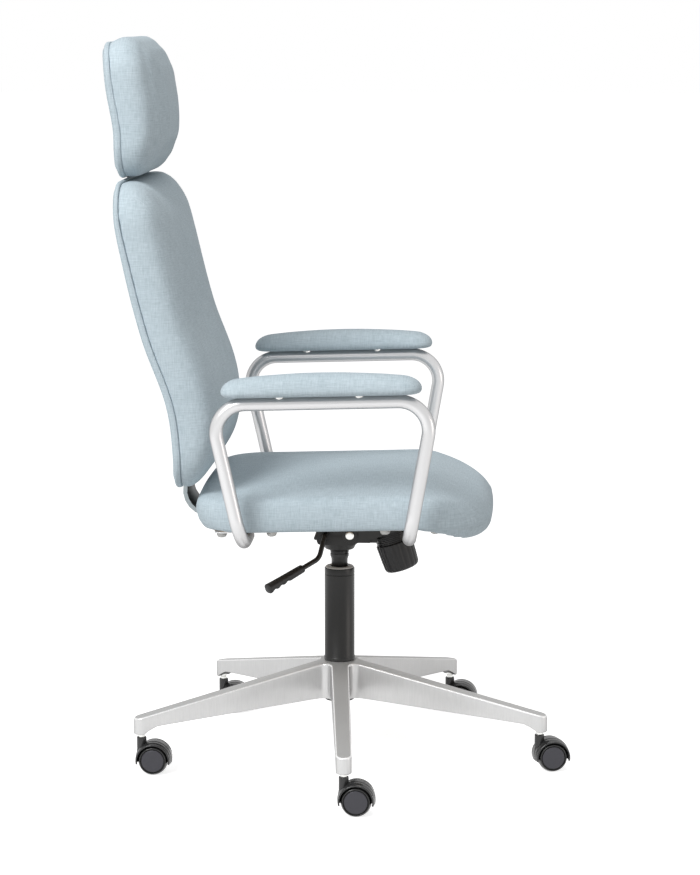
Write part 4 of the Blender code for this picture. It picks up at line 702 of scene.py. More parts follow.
def hoodMesh():
    s = castorSizes
    half, web, hood, well, lip, neck = s["half"], s["web"] / 2, s["hood"], s["well"], s["lip"], s["neck"]
    rim = hood - s["crown"]
    section = [(well, web)] + near(well, half, (0, -0.0030)) + near(lip, half, (0, -0.0022), (0.0004, 0))
    section += near(rim, half, (-0.0008, 0), (0.0003, -0.0014), (0.0004, -0.0038), (-0.0005, -0.0046),
                    (0.0002, -0.0056))
    section += [(hood - s["crown"] * 0.32, half * 0.5), (hood - 0.0006, half * 0.30),
                (hood - 0.0008, half * 0.26), (hood, half * 0.2), (hood, 0.0)]
    section = softened(section, 0.0006, 3)
    section += [(r, -x) for r, x in reversed(section[:-1])]
    start = -asin(s["skirt"] / hood)
    rings = []
    for step in range(s["steps"] + 1):
        swing = start + (pi - 2 * start) * step / s["steps"]
        rings.append([Vector((x, r * cos(swing) - s["trail"], r * sin(swing))) for r, x in section])
    shell = filled(opened(skin(rings, "hood", False, False)), "hood")
    axleAt = Matrix.Translation((0, -s["trail"], 0)) @ Matrix.Rotation(pi / 2, 4, "Y")
    disc = softened([(0, web), (well + 0.001, web), (well + 0.001, -web), (0, -web)], 0.0004, 2)
    work = opened(placed(lathe(disc, "web", 56), axleAt))
    bmesh.ops.bisect_plane(work, geom=work.verts[:] + work.edges[:] + work.faces[:], dist=1e-6,
                           plane_co=(0, 0, -s["skirt"]), plane_no=(0, 0, -1), clear_outer=True)
    webDisc = filled(work, "web")
    top = stemSizes["neckTop"] - s["axle"]
    line = [(0, top - 0.001)] + near(neck, top, (-0.0022, -0.001), (-0.0016, 0), (-0.0004, 0), (0, -0.001))
    line += [(neck, 0.016), (neck + 0.0012, 0.008), (neck, s["neckBase"]), (0, s["neckBase"])]
    end = half - s["pinInside"]
    pin = lathe([(0, end), (s["pin"], end), (s["pin"], -end), (0, -end)], "axle", 20)
    return joined([shell, webDisc, lathe(softened(line, 0.0006, 3), "neck", 36), placed(pin, axleAt)], "hood")


def wheelMesh():
    s = castorSizes
    face, cap, rim, hole = s["width"], s["cap"], s["wheel"], s["hole"]
    line = [(0, face + 0.0006)]
    line += near(cap, face, (-0.0062, 0.0005), (-0.0014, 0.0002), (-0.0005, -0.0004), (-0.0002, -0.0024),
                 (0.0008, -0.0024), (0.0011, -0.0004), (0.0018, 0.0006), (0.0030, 0.0002), (0.0036, -0.0012))
    line += near(rim, face, (-0.0011, -0.0034), (0, -0.0066)) + [(rim, 0.0016), (rim - 0.0012, 0.0)]
    line += [(hole, 0.0), (hole, s["holeDeep"]), (0, s["holeDeep"])]
    mesh = lathe(softened(line, 0.0009, 3), "wheel", 64)
    for polygon in mesh.polygons:                   # the cap in the wheel's face is grey
        middle = polygon.center
        if middle.z > face - 0.0013 and hypot(middle.x, middle.y) < cap - 0.0004:
            polygon.material_index = 1
    return mesh


hoodShape, wheelShape = hoodMesh(), wheelMesh()
for number, angle in enumerate(legAngles, start=1):
    s = castorSizes
    spot = Matrix.Translation(polar(baseSizes["stemCircle"], angle, s["axle"]))
    castorAt = columnAt @ spot @ Matrix.Rotation(s["turns"][number - 1], 4, "Z")
    piece(f"castorHood_{number}", placed(hoodShape.copy(), castorAt), castorPlastic, f"castor_{number}",
          [f"castor_hood_{number}"])
    for side, sign in (("a", -1), ("b", 1)):
        spot = Matrix.Translation((sign * s["gap"], -s["trail"], 0)) @ Matrix.Rotation(sign * pi / 2, 4, "Y")
        piece(f"castorWheel_{number}{side}", placed(wheelShape.copy(), castorAt @ spot),
              [castorPlastic, wheelPlastic], f"wheel_{number}{side}", [f"castor_wheel_{number}{side}"])
print("castors ready")


# column

columnSizes = {"radius": 0.025, "bore": 0.023, "wide": 0.0258, "top": 0.3312, "skirt": 0.1698,
               "base": 0.0990, "floor": 0.004, "rodHole": 0.0056, "skirtOut": 0.0012, "skirtHigh": 0.005,
               "groove": 0.011, "guideTop": 0.0022, "guideLong": 0.07, "cylinder": 0.014, "collar": 0.016,
               "collarBase": 0.3464, "coneBase": 0.3634, "cylinderTop": 0.4128, "cylinderBase": 0.1378,
               "valve": 0.0045, "valveDeep": 0.012, "rod": 0.0055, "rodDeep": 0.01}


def columnMeshes():
    s = columnSizes
    r, top, skirt, out, hole = s["wide"], s["top"], s["skirt"], s["skirtOut"], s["rodHole"]
    base, floor = s["base"], s["base"] + s["floor"]
    tube = near(s["bore"], top, (0, -0.0006), (0.0005, 0))
    tube += near(r, top, (-0.0012, 0), (-0.0003, -0.0004), (0, -0.0013))
    tube += near(r, top - s["groove"], (0, 0.0010), (-0.0007, 0.0005), (-0.0007, -0.0005), (0, -0.0010))
    tube += near(r, skirt + s["skirtHigh"], (0, 0.0014), (out * 0.8, 0), (out, -0.001))
    tube += [(r + out, skirt), (s["radius"], skirt), (s["radius"], base), (hole, base), (hole, floor),
             (s["bore"], floor)]
    bore, wall = s["cylinder"] + 0.0005, s["bore"] - fit
    lip, foot = top + fit, top - s["guideLong"]
    crest = lip + s["guideTop"]
    guide = near(bore, crest, (0, -0.0006), (0.0008, 0)) + [(r - 0.0032, crest)]
    guide += near(r, lip, (-0.0018, s["guideTop"] * 0.55), (-0.0012, 0))
    guide += [(wall, lip), (wall, foot), (bore, foot)]
    c, k, end, low = s["cylinder"], s["collar"], s["cylinderTop"], s["cylinderBase"]
    lift = [(0, end - s["valveDeep"]), (s["valve"], end - s["valveDeep"]), (s["valve"], end)]
    lift += near(c - 0.0008, end, (-0.001, 0), (0, -0.001)) + [(c, s["coneBase"])]
    lift += near(k, s["coneBase"], (-0.0008, -fit), (0, -0.0014), (0, -0.0052), (-0.0008, -0.0058),
                 (-0.0008, -0.0072), (0, -0.0078))
    lift += near(k, s["collarBase"], (0, 0.0050), (-0.0010, 0.0030))
    lift += near(c, s["collarBase"], (0.0006, 0.0010), (0, 0))
    lift += [(c, low), (s["rod"], low), (s["rod"], low + s["rodDeep"]), (0, low + s["rodDeep"])]
    return (lathe(tube, "columnTube", 72, True), lathe(guide, "columnGuide", 64, True),
            lathe(lift, "gasCylinder", 64))


tubeShape, guideShape, liftShape = (placed(mesh, columnAt) for mesh in columnMeshes())
piece("columnTube", tubeShape, columnSteel, "base", ["column_tube"])
piece("columnGuide", guideShape, greyPlastic, "base", ["column_guide"])
piece("gasCylinder", liftShape, columnSteel, "lift", ["gas_cylinder"])
print("column ready")


# tilt mechanism

knobSizes = {"lean": radians(18), "radius": 0.0320, "taper": 0.002, "height": 0.0505, "flutes": 18,
             "flute": 0.0011, "cover": 0.0302, "coverHigh": 0.0215, "ribs": 7, "ribDeep": 0.0016,
             "bore": 0.0055}


def knobMesh():
    s = knobSizes
    r, low = s["radius"], -s["height"]
    end = r - s["taper"]
    line = [(s["bore"], -0.0004)] + near(r, 0, (-0.006, -0.0004), (-0.0012, -0.0002), (0, -0.0016))
    line += [(r - s["taper"] * 0.5, low * 0.55)] + near(end, low, (0, 0.0065), (-0.0025, 0.0020), (-0.008, 0))
    line += near(0, low, (0.004, 0.0012), (0, 0.0012))
    steps = s["flutes"] * 10
    rings = []
    for radius, height in softened(line, 0.0022, 4):
        share = clamp((radius - r * 0.72) / (r * 0.2))
        ring = []
        for i in range(steps):
            a = 2 * pi * i / steps
            dip = max(cos(s["flutes"] * a), 0.0)**0.7 * s["flute"] * share
            ring.append(polar(max(radius, tiny) - dip, a, height))
        rings.append(ring)
    return skin(rings, "knob", False)


def coverMesh():
    s = knobSizes
    r, h = s["cover"], s["coverHigh"]
    pitch = h / s["ribs"]
    line = [(s["bore"], h - 0.0002), (r - s["ribDeep"] - 0.001, h)]
    for rib in range(s["ribs"]):
        top = h - rib * pitch
        line += near(r, top, (-s["ribDeep"], -pitch * 0.08), (-0.0003, -pitch * 0.30), (0, -pitch * 0.5),
                     (-0.0003, -pitch * 0.70), (-s["ribDeep"], -pitch * 0.92))
    line += [(r - s["ribDeep"], 0.0), (s["bore"], 0.0)]
    return lathe(line, "cover", 64, closed=True)


housingSizes = {"bowl": ((0.0158, 0.3638), (0.0232, 0.3638), (0.0252, 0.3650), (0.0282, 0.3712),
                         (0.0318, 0.3780), (0.0318, 0.3802), (0.0158, 0.3802)),
                "nose": (0.045, -0.0460, -0.0300, -0.0142, -0.0010)}


def housingMesh():
    # the pressed tray, its socket turned out into a bowl and a lip under the spring cover
    bowl = placed(lathe(softened(housingSizes["bowl"], 0.0012, 3), "bowl", 56, closed=True), columnAt)
    half, front, rear, low, high = housingSizes["nose"]
    corners = ((rear, low), (front, low), (front, high), (rear, high))
    rings = [[tiltPoint + Vector((x, y, z)) for y, z in corners] for x in (-half, half)]
    lip = bevelled(skin(rings, "lip"), 0.0012, 3)
    return joined([dressed("mechanism_housing", 0.0009, 3), bowl, lip], "housing")


knobAt = Matrix.Translation(knobTop) @ Matrix.Rotation(-knobSizes["lean"], 4, "X")
coverAt = knobAt @ Matrix.Translation((0, 0, fit))
piece("tensionKnob", placed(knobMesh(), knobAt), blackPlastic, "tension", ["tension_knob"])
piece("springCover", placed(coverMesh(), coverAt), castorPlastic, "lift", ["spring_cover"],
      60.0)
piece("mechanismHousing", housingMesh(), blackSteel, "lift", ["mechanism_housing"])
piece("tiltPlate", dressed("tilt_plate", 0.0006, 2), blackSteel, "seat", ["tilt_plate"])

pinSizes = {"radius": 0.0038, "head": 0.0075, "headHigh": 0.003, "shoulder": 0.0538}


def pinMesh():
    s = pinSizes
    end = s["shoulder"] + s["headHigh"]
    half = near(s["head"], end, (-0.0030, 0), (-0.0010, -0.0006), (0, -0.0018))
    half += [(s["head"], s["shoulder"]), (s["radius"], s["shoulder"])]
    line = [(0, end + 0.0002)] + half + [(r, -z) for r, z in reversed(half)] + [(0, -end - 0.0002)]
    pinAt = Matrix.Translation(tiltPoint) @ Matrix.Rotation(pi / 2, 4, "Y")
    return placed(lathe(softened(line, 0.0007, 3), "pin", 40), pinAt)


piece("tiltPivotPin", pinMesh(), zinc, "lift", ["tilt_pivot_pin"])

leverSizes = {"radius": 0.0037, "wall": 0.050, "inside": 0.016, "stub": 0.017, "drop": 0.0368,
              "swing": 0.009, "out": 0.030, "sweep": radians(46), "fall": radians(18.5), "arm": 0.037,
              "bend": 0.012, "kneeBend": 0.022, "grip": 0.081, "wide": 0.0086, "high": 0.0080,
              "finger": 0.0022, "thicker": 0.14, "thickFrom": 0.19, "thickRun": 0.03, "fingerFrom": 0.40,
              "fingerTo": 0.94, "fingers": 3, "square": 0.10}


def leverLine():
    s = leverSizes
    elbow = Vector((-(s["wall"] + s["stub"]), 0, 0))
    knee = Vector((-(s["wall"] + s["stub"] + s["out"] * 0.6), s["swing"], -s["drop"]))
    along = Vector((-cos(s["sweep"]) * cos(s["fall"]), sin(s["sweep"]) * cos(s["fall"]), -sin(s["fall"])))
    hand = knee + along * s["arm"]
    return [Vector((-(s["wall"] - s["inside"]), 0, 0)), elbow, knee,
            hand + along * s["grip"] * 0.5], hand, along


def leverMeshes():
    s = leverSizes
    corners, hand, along = leverLine()

    def grow(share):                                # plain in the housing, coated outside it
        size = 1 + s["thicker"] * clamp((share - s["thickFrom"]) / s["thickRun"])
        return size, size

    rod = sweep(roundedPath(corners, (s["bend"], s["kneeBend"])), circle(s["radius"], 24), "leverRod", grow)
    side = along.cross(Vector((0, 0, 1))).normalized()
    up = side.cross(along)
    steps, around = 60, 40
    fingerRun = s["fingerTo"] - s["fingerFrom"]
    rings = []
    for k in range(steps + 1):
        share = k / steps
        ends = max(min(share / 0.05, (1 - share) / 0.035, 1.0), 0.0)
        size = (0.80 + 0.16 * share + 0.08 * share**6) * (0.72 + 0.28 * sqrt(ends * (2 - ends)))
        fingers = 0.0
        if s["fingerFrom"] < share < s["fingerTo"]:
            wave = (share - s["fingerFrom"]) / fingerRun * 2 * s["fingers"] * pi
            fingers = s["finger"] * (0.5 - 0.5 * cos(wave))
        ring = []
        for i in range(around):
            a, b = s["wide"] * cos(2 * pi * i / around), s["high"] * sin(2 * pi * i / around)
            dent = fingers * min(max(-b / s["high"], 0.0) * 1.6, 1.0)
            square = 1.0 + s["square"] * abs(sin(2 * atan2(b, a)))
            ring.append(hand + along * (s["grip"] * share) + side * (a * size * square)
                        + up * (b * size * square + dent))
        rings.append(ring)
    return rod, skin(rings, "leverGrip")


leverAt = Matrix.Translation(leverPoint)
rodShape, gripShape = (placed(mesh, leverAt) for mesh in leverMeshes())
piece("leverRod", rodShape, blackSteel, "lever", ["lever_rod"])
piece("leverGrip", gripShape, blackPlastic, "lever", ["lever_grip"])
print("mechanism ready")


# arms

armSizes = {"spread": 0.296, "tube": 0.011, "top": 0.2634, "footRear": 0.1586, "footFront": 0.1092,
            "leanRear": 0.195, "leanFront": 0.205, "bend": 0.0475, "footBend": 0.050, "reach": 0.101,
            "seatUnder": 0.0449, "footLong": 0.104, "footWide": 0.036, "footThick": 0.003,
            "footCorner": 0.012, "weld": 0.0006, "boltSpacing": 0.082, "studSpacing": 0.1272,
            "studShift": 0.0035, "padMiddle": 0.0235}
footBase = armSizes["seatUnder"] - fit - armSizes["footThick"]
footTube = footBase - armSizes["tube"] + armSizes["weld"]
footX = armSizes["spread"] - armSizes["reach"] + armSizes["footWide"] / 2


def armMesh():
    s = armSizes
    rise = s["top"] - footTube
    inner, out = s["spread"] - s["reach"], s["spread"]
    rear, front = s["footRear"], -s["footFront"]
    corners = [(inner, rear, footTube), (out, rear, footTube), (out, rear + s["leanRear"] * rise, s["top"]),
               (out, front - s["leanFront"] * rise, s["top"]), (out, front, footTube),
               (inner, front, footTube)]
    bends = (s["footBend"], s["bend"], s["bend"], s["footBend"])
    tube = sweep(roundedPath(corners, bends, 20), circle(s["tube"], 40), "tube")
    shapes = [bevelled(tube, 0.0012, 3, 60.0)]
    for foot in (rear, front):
        ring = roundedRing(s["footWide"] / 2, s["footLong"] / 2, s["footCorner"], s["footCorner"], 8, 2)
        rings = [[Vector((x + footX, y + foot, height)) for x, y in ring]
                 for height in (footBase, footBase + s["footThick"])]
        shapes.append(bevelled(skin(rings, "foot"), 0.0006, 2))
    return joined(shapes, "armFrame")


armLeft = armMesh()
sides = ("left", "right")
flipped = Matrix.Scale(-1, 4, (1, 0, 0))
for side, matrix in zip(sides, (tiltAt, tiltAt @ flipped)):
    piece("armFrame" + side.title(), placed(armLeft.copy(), matrix), silver, "seat", [f"arm_frame_{side}"],
          50.0)

boltSizes = {"radius": 0.003, "head": 0.0084, "headHigh": 0.0090, "length": 0.013, "socket": 0.0024}
studSizes = {"radius": 0.0082, "shank": 0.0028, "depth": 0.0077, "lift": 0.0016, "tube": 0.0111, "steps": 40}


def boltMesh():
    s = boltSizes
    head, high, end, k = s["head"], s["headHigh"], s["length"], s["socket"]
    line = [(0, end)] + near(s["radius"], end, (-0.0005, 0), (0, -0.0006)) + [(s["radius"], 0), (head, 0)]
    line += [(head, -high * 0.5), (head * 0.82, -high * 0.86), (head * 0.5, -high), (k, -high)]
    line += [(k * 0.94, -high + 0.0018), (0, -high + 0.002)]
    return lathe(softened(line, 0.0005, 2), "bolt", 24)


def studMesh():
    # a shank with a collar that sits on the tube like a saddle
    s = studSizes
    r, shank, collar, top = s["radius"], s["shank"], s["lift"] - fit, s["lift"] + s["depth"]
    line = [(tiny, top), (shank, top), (shank, collar), (r - 0.0005, collar), (r, collar - 0.0005), (r, None),
            (shank, None), (shank, -s["depth"]), (tiny, -s["depth"])]
    rings = []
    for radius, height in line:
        ring = []
        for step in range(s["steps"]):
            point = polar(radius, 2 * pi * step / s["steps"], height or 0.0)
            if height is None:
                point.z = sqrt(s["tube"]**2 - point.x**2) - s["tube"] + fit
            ring.append(point)
        rings.append(ring)
    return skin(rings, "stud")


def bothSides(spots):                               # places without a turn, and their mirror images
    return [(sign * x, y, z, 0, 0, 0) for sign in (1, -1) for x, y, z in spots]


s = armSizes
boltSpots = bothSides([(footX, foot + end * s["boltSpacing"] / 2, footBase - fit)
                       for foot in (s["footRear"], -s["footFront"]) for end in (1, -1)])
studSpots = bothSides([(s["spread"], s["padMiddle"] + s["studShift"] + end * s["studSpacing"] / 2,
                        s["top"] + s["tube"]) for end in (1, -1)])
piece("armBolts", repeated(boltMesh(), boltSpots, "armBolts", boltSteel, tiltAt), boltSteel, "seat",
      [f"arm_bolt_{side}_{n}" for side in sides for n in range(1, 5)])
piece("armStuds", repeated(studMesh(), studSpots, "armStuds", zinc, tiltAt), zinc, "seat",
      [f"arm_stud_{side}_{end}" for side in sides for end in ("front", "rear")])
print("arms ready")


# soft pieces

clothSizes = {"frames": 14, "quality": 3, "mass": 0.3, "damping": 2.0, "pressure": 4.0, "tension": 18.0,
              "shear": 6.0, "bending": 0.6, "calm": 40, "keep": 0.06, "settle": 0.5, "smooth": 4, "even": 0.6}


def remeshed(mesh, voxel):
    obj = benchObject(mesh)
    step = obj.modifiers.new("voxels", "REMESH")
    step.mode, step.voxel_size, step.adaptivity = "VOXEL", voxel, 0.0
    work = opened(applied(obj))
    for _ in range(clothSizes["smooth"]):
        bmesh.ops.smooth_vert(work, verts=work.verts, factor=0.5, use_axis_x=True, use_axis_y=True,
                              use_axis_z=True)
    return meshOf(work, "soft", recalc=False)


def calmed(mesh, moves):
    # evens the movement out between neighbours: the foam fills the cover, so few wrinkles stay
    ends = np.empty(len(mesh.edges) * 2, dtype=np.int64)
    mesh.edges.foreach_get("vertices", ends)
    first, second = ends.reshape(-1, 2).T
    share = np.bincount(ends, minlength=len(moves))[:, None]
    for _ in range(clothSizes["calm"]):
        total = np.zeros_like(moves)
        np.add.at(total, first, moves[second])
        np.add.at(total, second, moves[first])
        moves = moves * (1 - clothSizes["even"]) + total / share * clothSizes["even"]
    return moves


def swollen(mesh, name, sizes, pins):
    # a slightly smaller cover, blown up by the foam; its movement is capped, evened and half kept
    s = clothSizes
    cut = np.array([vert.co[:] for vert in mesh.vertices])
    for vert, pin in zip(mesh.vertices, pins):
        vert.co -= vert.normal * sizes["shrink"] * (1 - pin)
    start = np.array([vert.co[:] for vert in mesh.vertices])
    obj = benchObject(mesh, name + "Cloth")
    group = obj.vertex_groups.new(name="held")
    for index, pin in enumerate(pins):
        if pin > 0.02:
            group.add([index], pin, "REPLACE")
    cloth = obj.modifiers.new("cloth", "CLOTH")
    cover = cloth.settings
    cover.quality, cover.mass, cover.air_damping = s["quality"], s["mass"], s["damping"]
    cover.tension_stiffness = cover.compression_stiffness = s["tension"]
    cover.shear_stiffness, cover.bending_stiffness = s["shear"], s["bending"]
    cover.use_pressure, cover.uniform_pressure_force = True, s["pressure"]
    cover.vertex_group_mass = "held"
    cover.effector_weights.gravity = 0.0
    cloth.point_cache.frame_start, cloth.point_cache.frame_end = 1, s["frames"]
    for number in range(1, s["frames"] + 1):
        scene.frame_set(number)
    mesh = applied(obj)
    scene.frame_set(1)
    moves = np.array([vert.co[:] for vert in mesh.vertices]) - start
    length = np.linalg.norm(moves, axis=1, keepdims=True)
    moves *= np.minimum(1.0, sizes["cap"] / np.maximum(length, 1e-9))
    moves = calmed(mesh, moves) * (1 - s["keep"]) + moves * s["keep"]
    mesh.vertices.foreach_set("co", (cut + (start + moves - cut) * s["settle"]).ravel())
    return mesh


def stuffed(mesh, name, sizes, held):
    # held(point) gives 0 to 1, 1 where the cover is stapled or sewn down
    mesh = remeshed(mesh, sizes["voxel"])
    mesh = swollen(mesh, name, sizes, [held(vert.co) for vert in mesh.vertices])
    obj = benchObject(mesh)
    finerStep = obj.modifiers.new("finer", "SUBSURF")
    finerStep.levels = finerStep.render_levels = 1
    return applied(obj)


def heldBelow(level, run):
    return lambda point: clamp((level - point.z) / run)


def padPiece(name, mesh, node):
    made = piece(name, placed(mesh, tiltAt), fabric, "seat", [node], 70.0)
    return made


seatSizes = {"half": 0.2565, "front": 0.2413, "rear": 0.2372, "rearCorner": 0.070, "frontCorner": 0.130,
             "panRear": 0.0403, "panFront": 0.1003, "panInset": 0.0187, "panThick": 0.0123,
             "panMiddle": 0.12, "edge": 0.060, "nose": 0.035, "noseLong": 0.120, "tail": 0.010, "bow": 0.011,
             "under": 0.0449, "noseRound": 0.036, "tailRound": 0.010, "roundHigh": 0.042, "roundLong": 0.12,
             "browRound": 0.003, "browFrom": 0.012, "browHigh": 0.044, "noseFull": 0.0030, "noseHigh": 0.056,
             "frontBow": 0.014, "frontSide": 0.0105, "voxel": 0.006, "shrink": 0.003, "cap": 0.0045,
             "held": 0.008, "heldRun": 0.006}


def seatMesh():
    s = seatSizes
    middle, half = (s["rear"] - s["front"]) / 2, (s["rear"] + s["front"]) / 2
    layers = finer([(0.0125, -0.0026), (0.0045, 0.0), (0.0, 0.011), (0.0, 0.026), (0.0022, 0.0400),
                    (0.0070, 0.0495), (0.0140, 0.0546), (0.0220, 0.0562), (0.034, 0.0556), (0.050, 0.0552),
                    (0.075, 0.0574), (0.105, 0.0618), (0.145, 0.0674), (0.185, 0.0706), (0.225, 0.0716)])

    def place(x, y, rise):
        nose = max((-y - (half - s["noseLong"])) / s["noseLong"], 0.0)
        end = max((abs(y) - (half - s["roundLong"])) / s["roundLong"], 0.0)
        low = clamp(1 - rise / s["roundHigh"])
        turn = (s["tailRound"] if y > 0 else -s["noseRound"]) * end**1.5 * (1 - sqrt(1 - low**2))
        brow = s["browRound"] * end**2 * clamp((rise - s["browFrom"]) / s["browHigh"])**2
        brow -= s["noseFull"] * end**2 * sin(pi * clamp(rise / s["noseHigh"]))
        y -= turn - (brow if y < 0 else 0.0)
        bulge = 1 - (x / s["half"])**2              # both ends bow out in the middle
        if y > 0:
            y += (s["tail"] * min(rise / s["edge"], 1.0) + s["bow"] * bulge) * (y / half)**2
        else:
            y -= (s["frontBow"] * bulge - s["frontSide"]) * (y / half)**4
        return Vector((x, y + middle, s["under"] + rise - s["nose"] * nose**1.4))

    sections = []
    inset, thick = s["panInset"], s["panThick"]
    for amount, rise in ((s["panMiddle"], thick), (inset, thick), (inset, 0.0)):   # pocket for the board
        corners = (max(s[corner] - amount + inset, tightCorner) for corner in ("panRear", "panFront"))
        ring = roundedRing(s["half"] - amount, half - amount, *corners)
        sections.append([Vector((x, y + middle, s["under"] + rise)) for x, y in ring])
    sections.append([place(x, y, 0.0) for x, y in ring])
    sections += pillowRings(s["half"], half, (s["rearCorner"], s["frontCorner"]), layers, place)
    return skin(sections, "seatCushion")


seatHeld = heldBelow(seatSizes["under"] + seatSizes["held"], seatSizes["heldRun"])
seatCushion = padPiece("seatCushion", stuffed(seatMesh(), "seat", seatSizes, seatHeld), "seat_cushion")
print("seat ready:", len(seatCushion.data.polygons), "faces")

backSizes = {"profile": ((0.2676, 0.100), (0.2617, 0.1685), (0.2703, 0.2557), (0.3054, 0.3638),
                         (0.3352, 0.4977), (0.3463, 0.560), (0.3485, 0.625), (0.3480, 0.6629),
                         (0.3478, 0.6994), (0.3572, 0.7642), (0.3620, 0.8134), (0.3675, 0.860)),
             "shell": 0.0125, "shellCrown": 0.008, "tuck": 0.0028, "dipDeep": 0.034, "held": 0.006,
             "heldRun": 0.004}
backPad = {"bottom": 0.1074, "top": 0.6150, "half": 0.235, "corner": 0.072, "edge": 0.058, "crown": 0.022,
           "low": (0.130, 0.53), "high": (0.080, 0.25), "fuller": 0.40, "panel": (0.200, 0.50), "dip": 0.0,
           "rings": (0.055, 0.105, 0.160, 0.200), "voxel": 0.006, "shrink": 0.003, "cap": 0.0055}
headPad = {"bottom": 0.6165, "top": 0.8484, "half": 0.165, "corner": 0.062, "edge": 0.056, "crown": 0.020,
           "low": (0.145, 0.30), "high": (0.075, 0.20), "fuller": 0.42, "panel": (0.120, 0.35), "dip": 0.008,
           "rings": (0.045, 0.075, 0.100), "voxel": 0.0045, "shrink": 0.0025, "cap": 0.0045}


def onBack(x, height, rise):
    depth, slope = smoothLine(backSizes["profile"], height)
    run = sqrt(1 + slope**2)
    return Vector((x, depth - rise / run, height + rise * slope / run))


def backPlace(s):
    middle = (s["bottom"] + s["top"]) / 2

    def place(x, y, rise):
        if y > 0:                                   # the upper end dips at the seam
            y -= s["dip"] * clamp(1 - rise / backSizes["dipDeep"]) * (y / (s["top"] - middle))**4
        height = y + middle
        roundOff = max(1 - (x / s["half"])**2, 0.0)
        if rise > 0:
            low = min((height - s["bottom"]) / s["low"][0], 1.0)
            high = min((s["top"] - height) / s["high"][0], 1.0)
            rise *= 1 - s["low"][1] * (1 - sin(low * pi / 2)) - s["high"][1] * (1 - sin(high * pi / 2))
        if rise <= -backSizes["shell"] * 0.98:
            rise -= backSizes["shellCrown"] * roundOff
        if rise < 0:                                # thinner at the sides of its upper end
            rise *= 1 - s["panel"][1] * max(1 - (s["top"] - height) / s["panel"][0], 0.0)**2 * (1 - roundOff)
        point = onBack(x, height, rise)
        return Vector((point.x, point.y, min(max(point.z, s["bottom"]), s["top"])))

    return place


def backPillow(s, name, layers, fuller=0.0):
    high, corners = (s["top"] - s["bottom"]) / 2, (s["corner"], s["corner"])
    return skin(pillowRings(s["half"], high, corners, layers, backPlace(s), fuller), name)


def backCushionMesh(s, name):
    edge, crown, rings = s["edge"], s["crown"], s["rings"]
    tuck = -backSizes["tuck"]                       # the cover turns in behind the seam
    layers = [(amount, tuck) for amount in rings[::-1]]
    layers += finer([(0.012, tuck), (0.0040, tuck), (0.0022, 0.0003), (0.0010, 0.0022),
                     (0.0004, edge * 0.15), (0.0, edge * 0.36), (0.0012, edge * 0.54), (0.0046, edge * 0.71),
                     (0.0112, edge * 0.86), (0.0210, edge * 0.96), (0.0340, edge + crown * 0.10)]
                    + [(amount, edge + crown * (i + 1.2) / (len(rings) + 0.2))
                       for i, amount in enumerate(rings)])
    return backPillow(s, name, layers, s["fuller"])


def backPanelMesh(s, name):
    depth = backSizes["shell"]
    layers = [(amount, -fit / 2) for amount in s["rings"][::-1]]
    layers += finer([(0.012, -fit / 2), (0.0038, -0.0002), (0.0019, -0.0007), (0.0009, -depth * 0.22),
                     (0.0004, -depth * 0.5), (0.0030, -depth * 0.80), (0.0085, -depth * 0.97)])
    layers += [(amount, -depth) for amount in (0.016, 0.028) + s["rings"]]
    return backPillow(s, name, layers)


def backHeld(point):
    depth, slope = smoothLine(backSizes["profile"], point.z)
    ahead = (depth - point.y) / sqrt(1 + slope**2)
    return clamp((backSizes["held"] - ahead) / backSizes["heldRun"])


for pad, node in ((backPad, "back"), (headPad, "headrest")):
    cushion, panel = node + "Cushion", node + "Panel"
    padPiece(cushion, stuffed(backCushionMesh(pad, cushion), cushion, pad, backHeld), node + "_cushion")
    padPiece(panel, backPanelMesh(pad, panel), node + "_shell")
print("back ready")

padSizes = {"long": 0.325, "half": 0.032, "endFlat": 0.002, "high": 0.0368, "base": 0.2760, "thin": 0.28,
            "voxel": 0.004, "shrink": 0.002, "cap": 0.004, "held": 0.003, "heldRun": 0.002}


def padMesh():
    s = padSizes
    layers = finer([(0.020, 0.0), (0.0085, 0.0), (0.0020, 0.0014), (0.0, 0.006), (0.0002, 0.014),
                    (0.0048, 0.0256), (0.0120, 0.0322), (0.0205, 0.0358), (0.0265, s["high"] - 0.0002),
                    (0.0316, s["high"])])

    def place(x, y, rise):
        thin = 1.0 - s["thin"] * (y / (s["long"] / 2))**2
        return Vector((x, y, s["base"] + rise * thin))

    corner = s["half"] - s["endFlat"]
    return skin(pillowRings(s["half"], s["long"] / 2, (corner, corner), layers, place, 0.0, 12), "armPad")


padHeld = heldBelow(padSizes["base"] + padSizes["held"], padSizes["heldRun"])
padSoft = stuffed(padMesh(), "pad", padSizes, padHeld)
for side, sign in zip(sides, (1, -1)):
    spot = Matrix.Translation((sign * armSizes["spread"], armSizes["padMiddle"], 0.0))
    soft = placed(padSoft.copy(), spot @ Matrix.Scale(sign, 4, (1, 0, 0)))
    padPiece("armPad" + side.title(), soft, f"arm_pad_{side}")
print("pads ready")


# bracket, bars and board

bracket = piece("backBracket", dressed("back_bracket", 0.0012, 3), [slate, blackSteel], "seat",
                ["back_bracket"])
for polygon in bracket.data.polygons:               # painted shade: faces turned to the front take the black finish instead of the slate coat
    polygon.material_index = 1 if polygon.normal.y < -0.35 else 0
piece("headrestBar", dressed("headrest_bar", 0.0006, 2), blackSteel, "seat", ["headrest_bar"])
piece("seatPan", dressed("seat_pan", 0.0010, 2), birch, "seat", ["seat_pan"])

for name in ("column_clip", "piston_rod", "thrust_bearing", "release_button", "tension_screw"):
    nodes[name].material_slots[0].link = "OBJECT"
    nodes[name].material_slots[0].material = zinc
print("small pieces ready")


# stage, light and camera

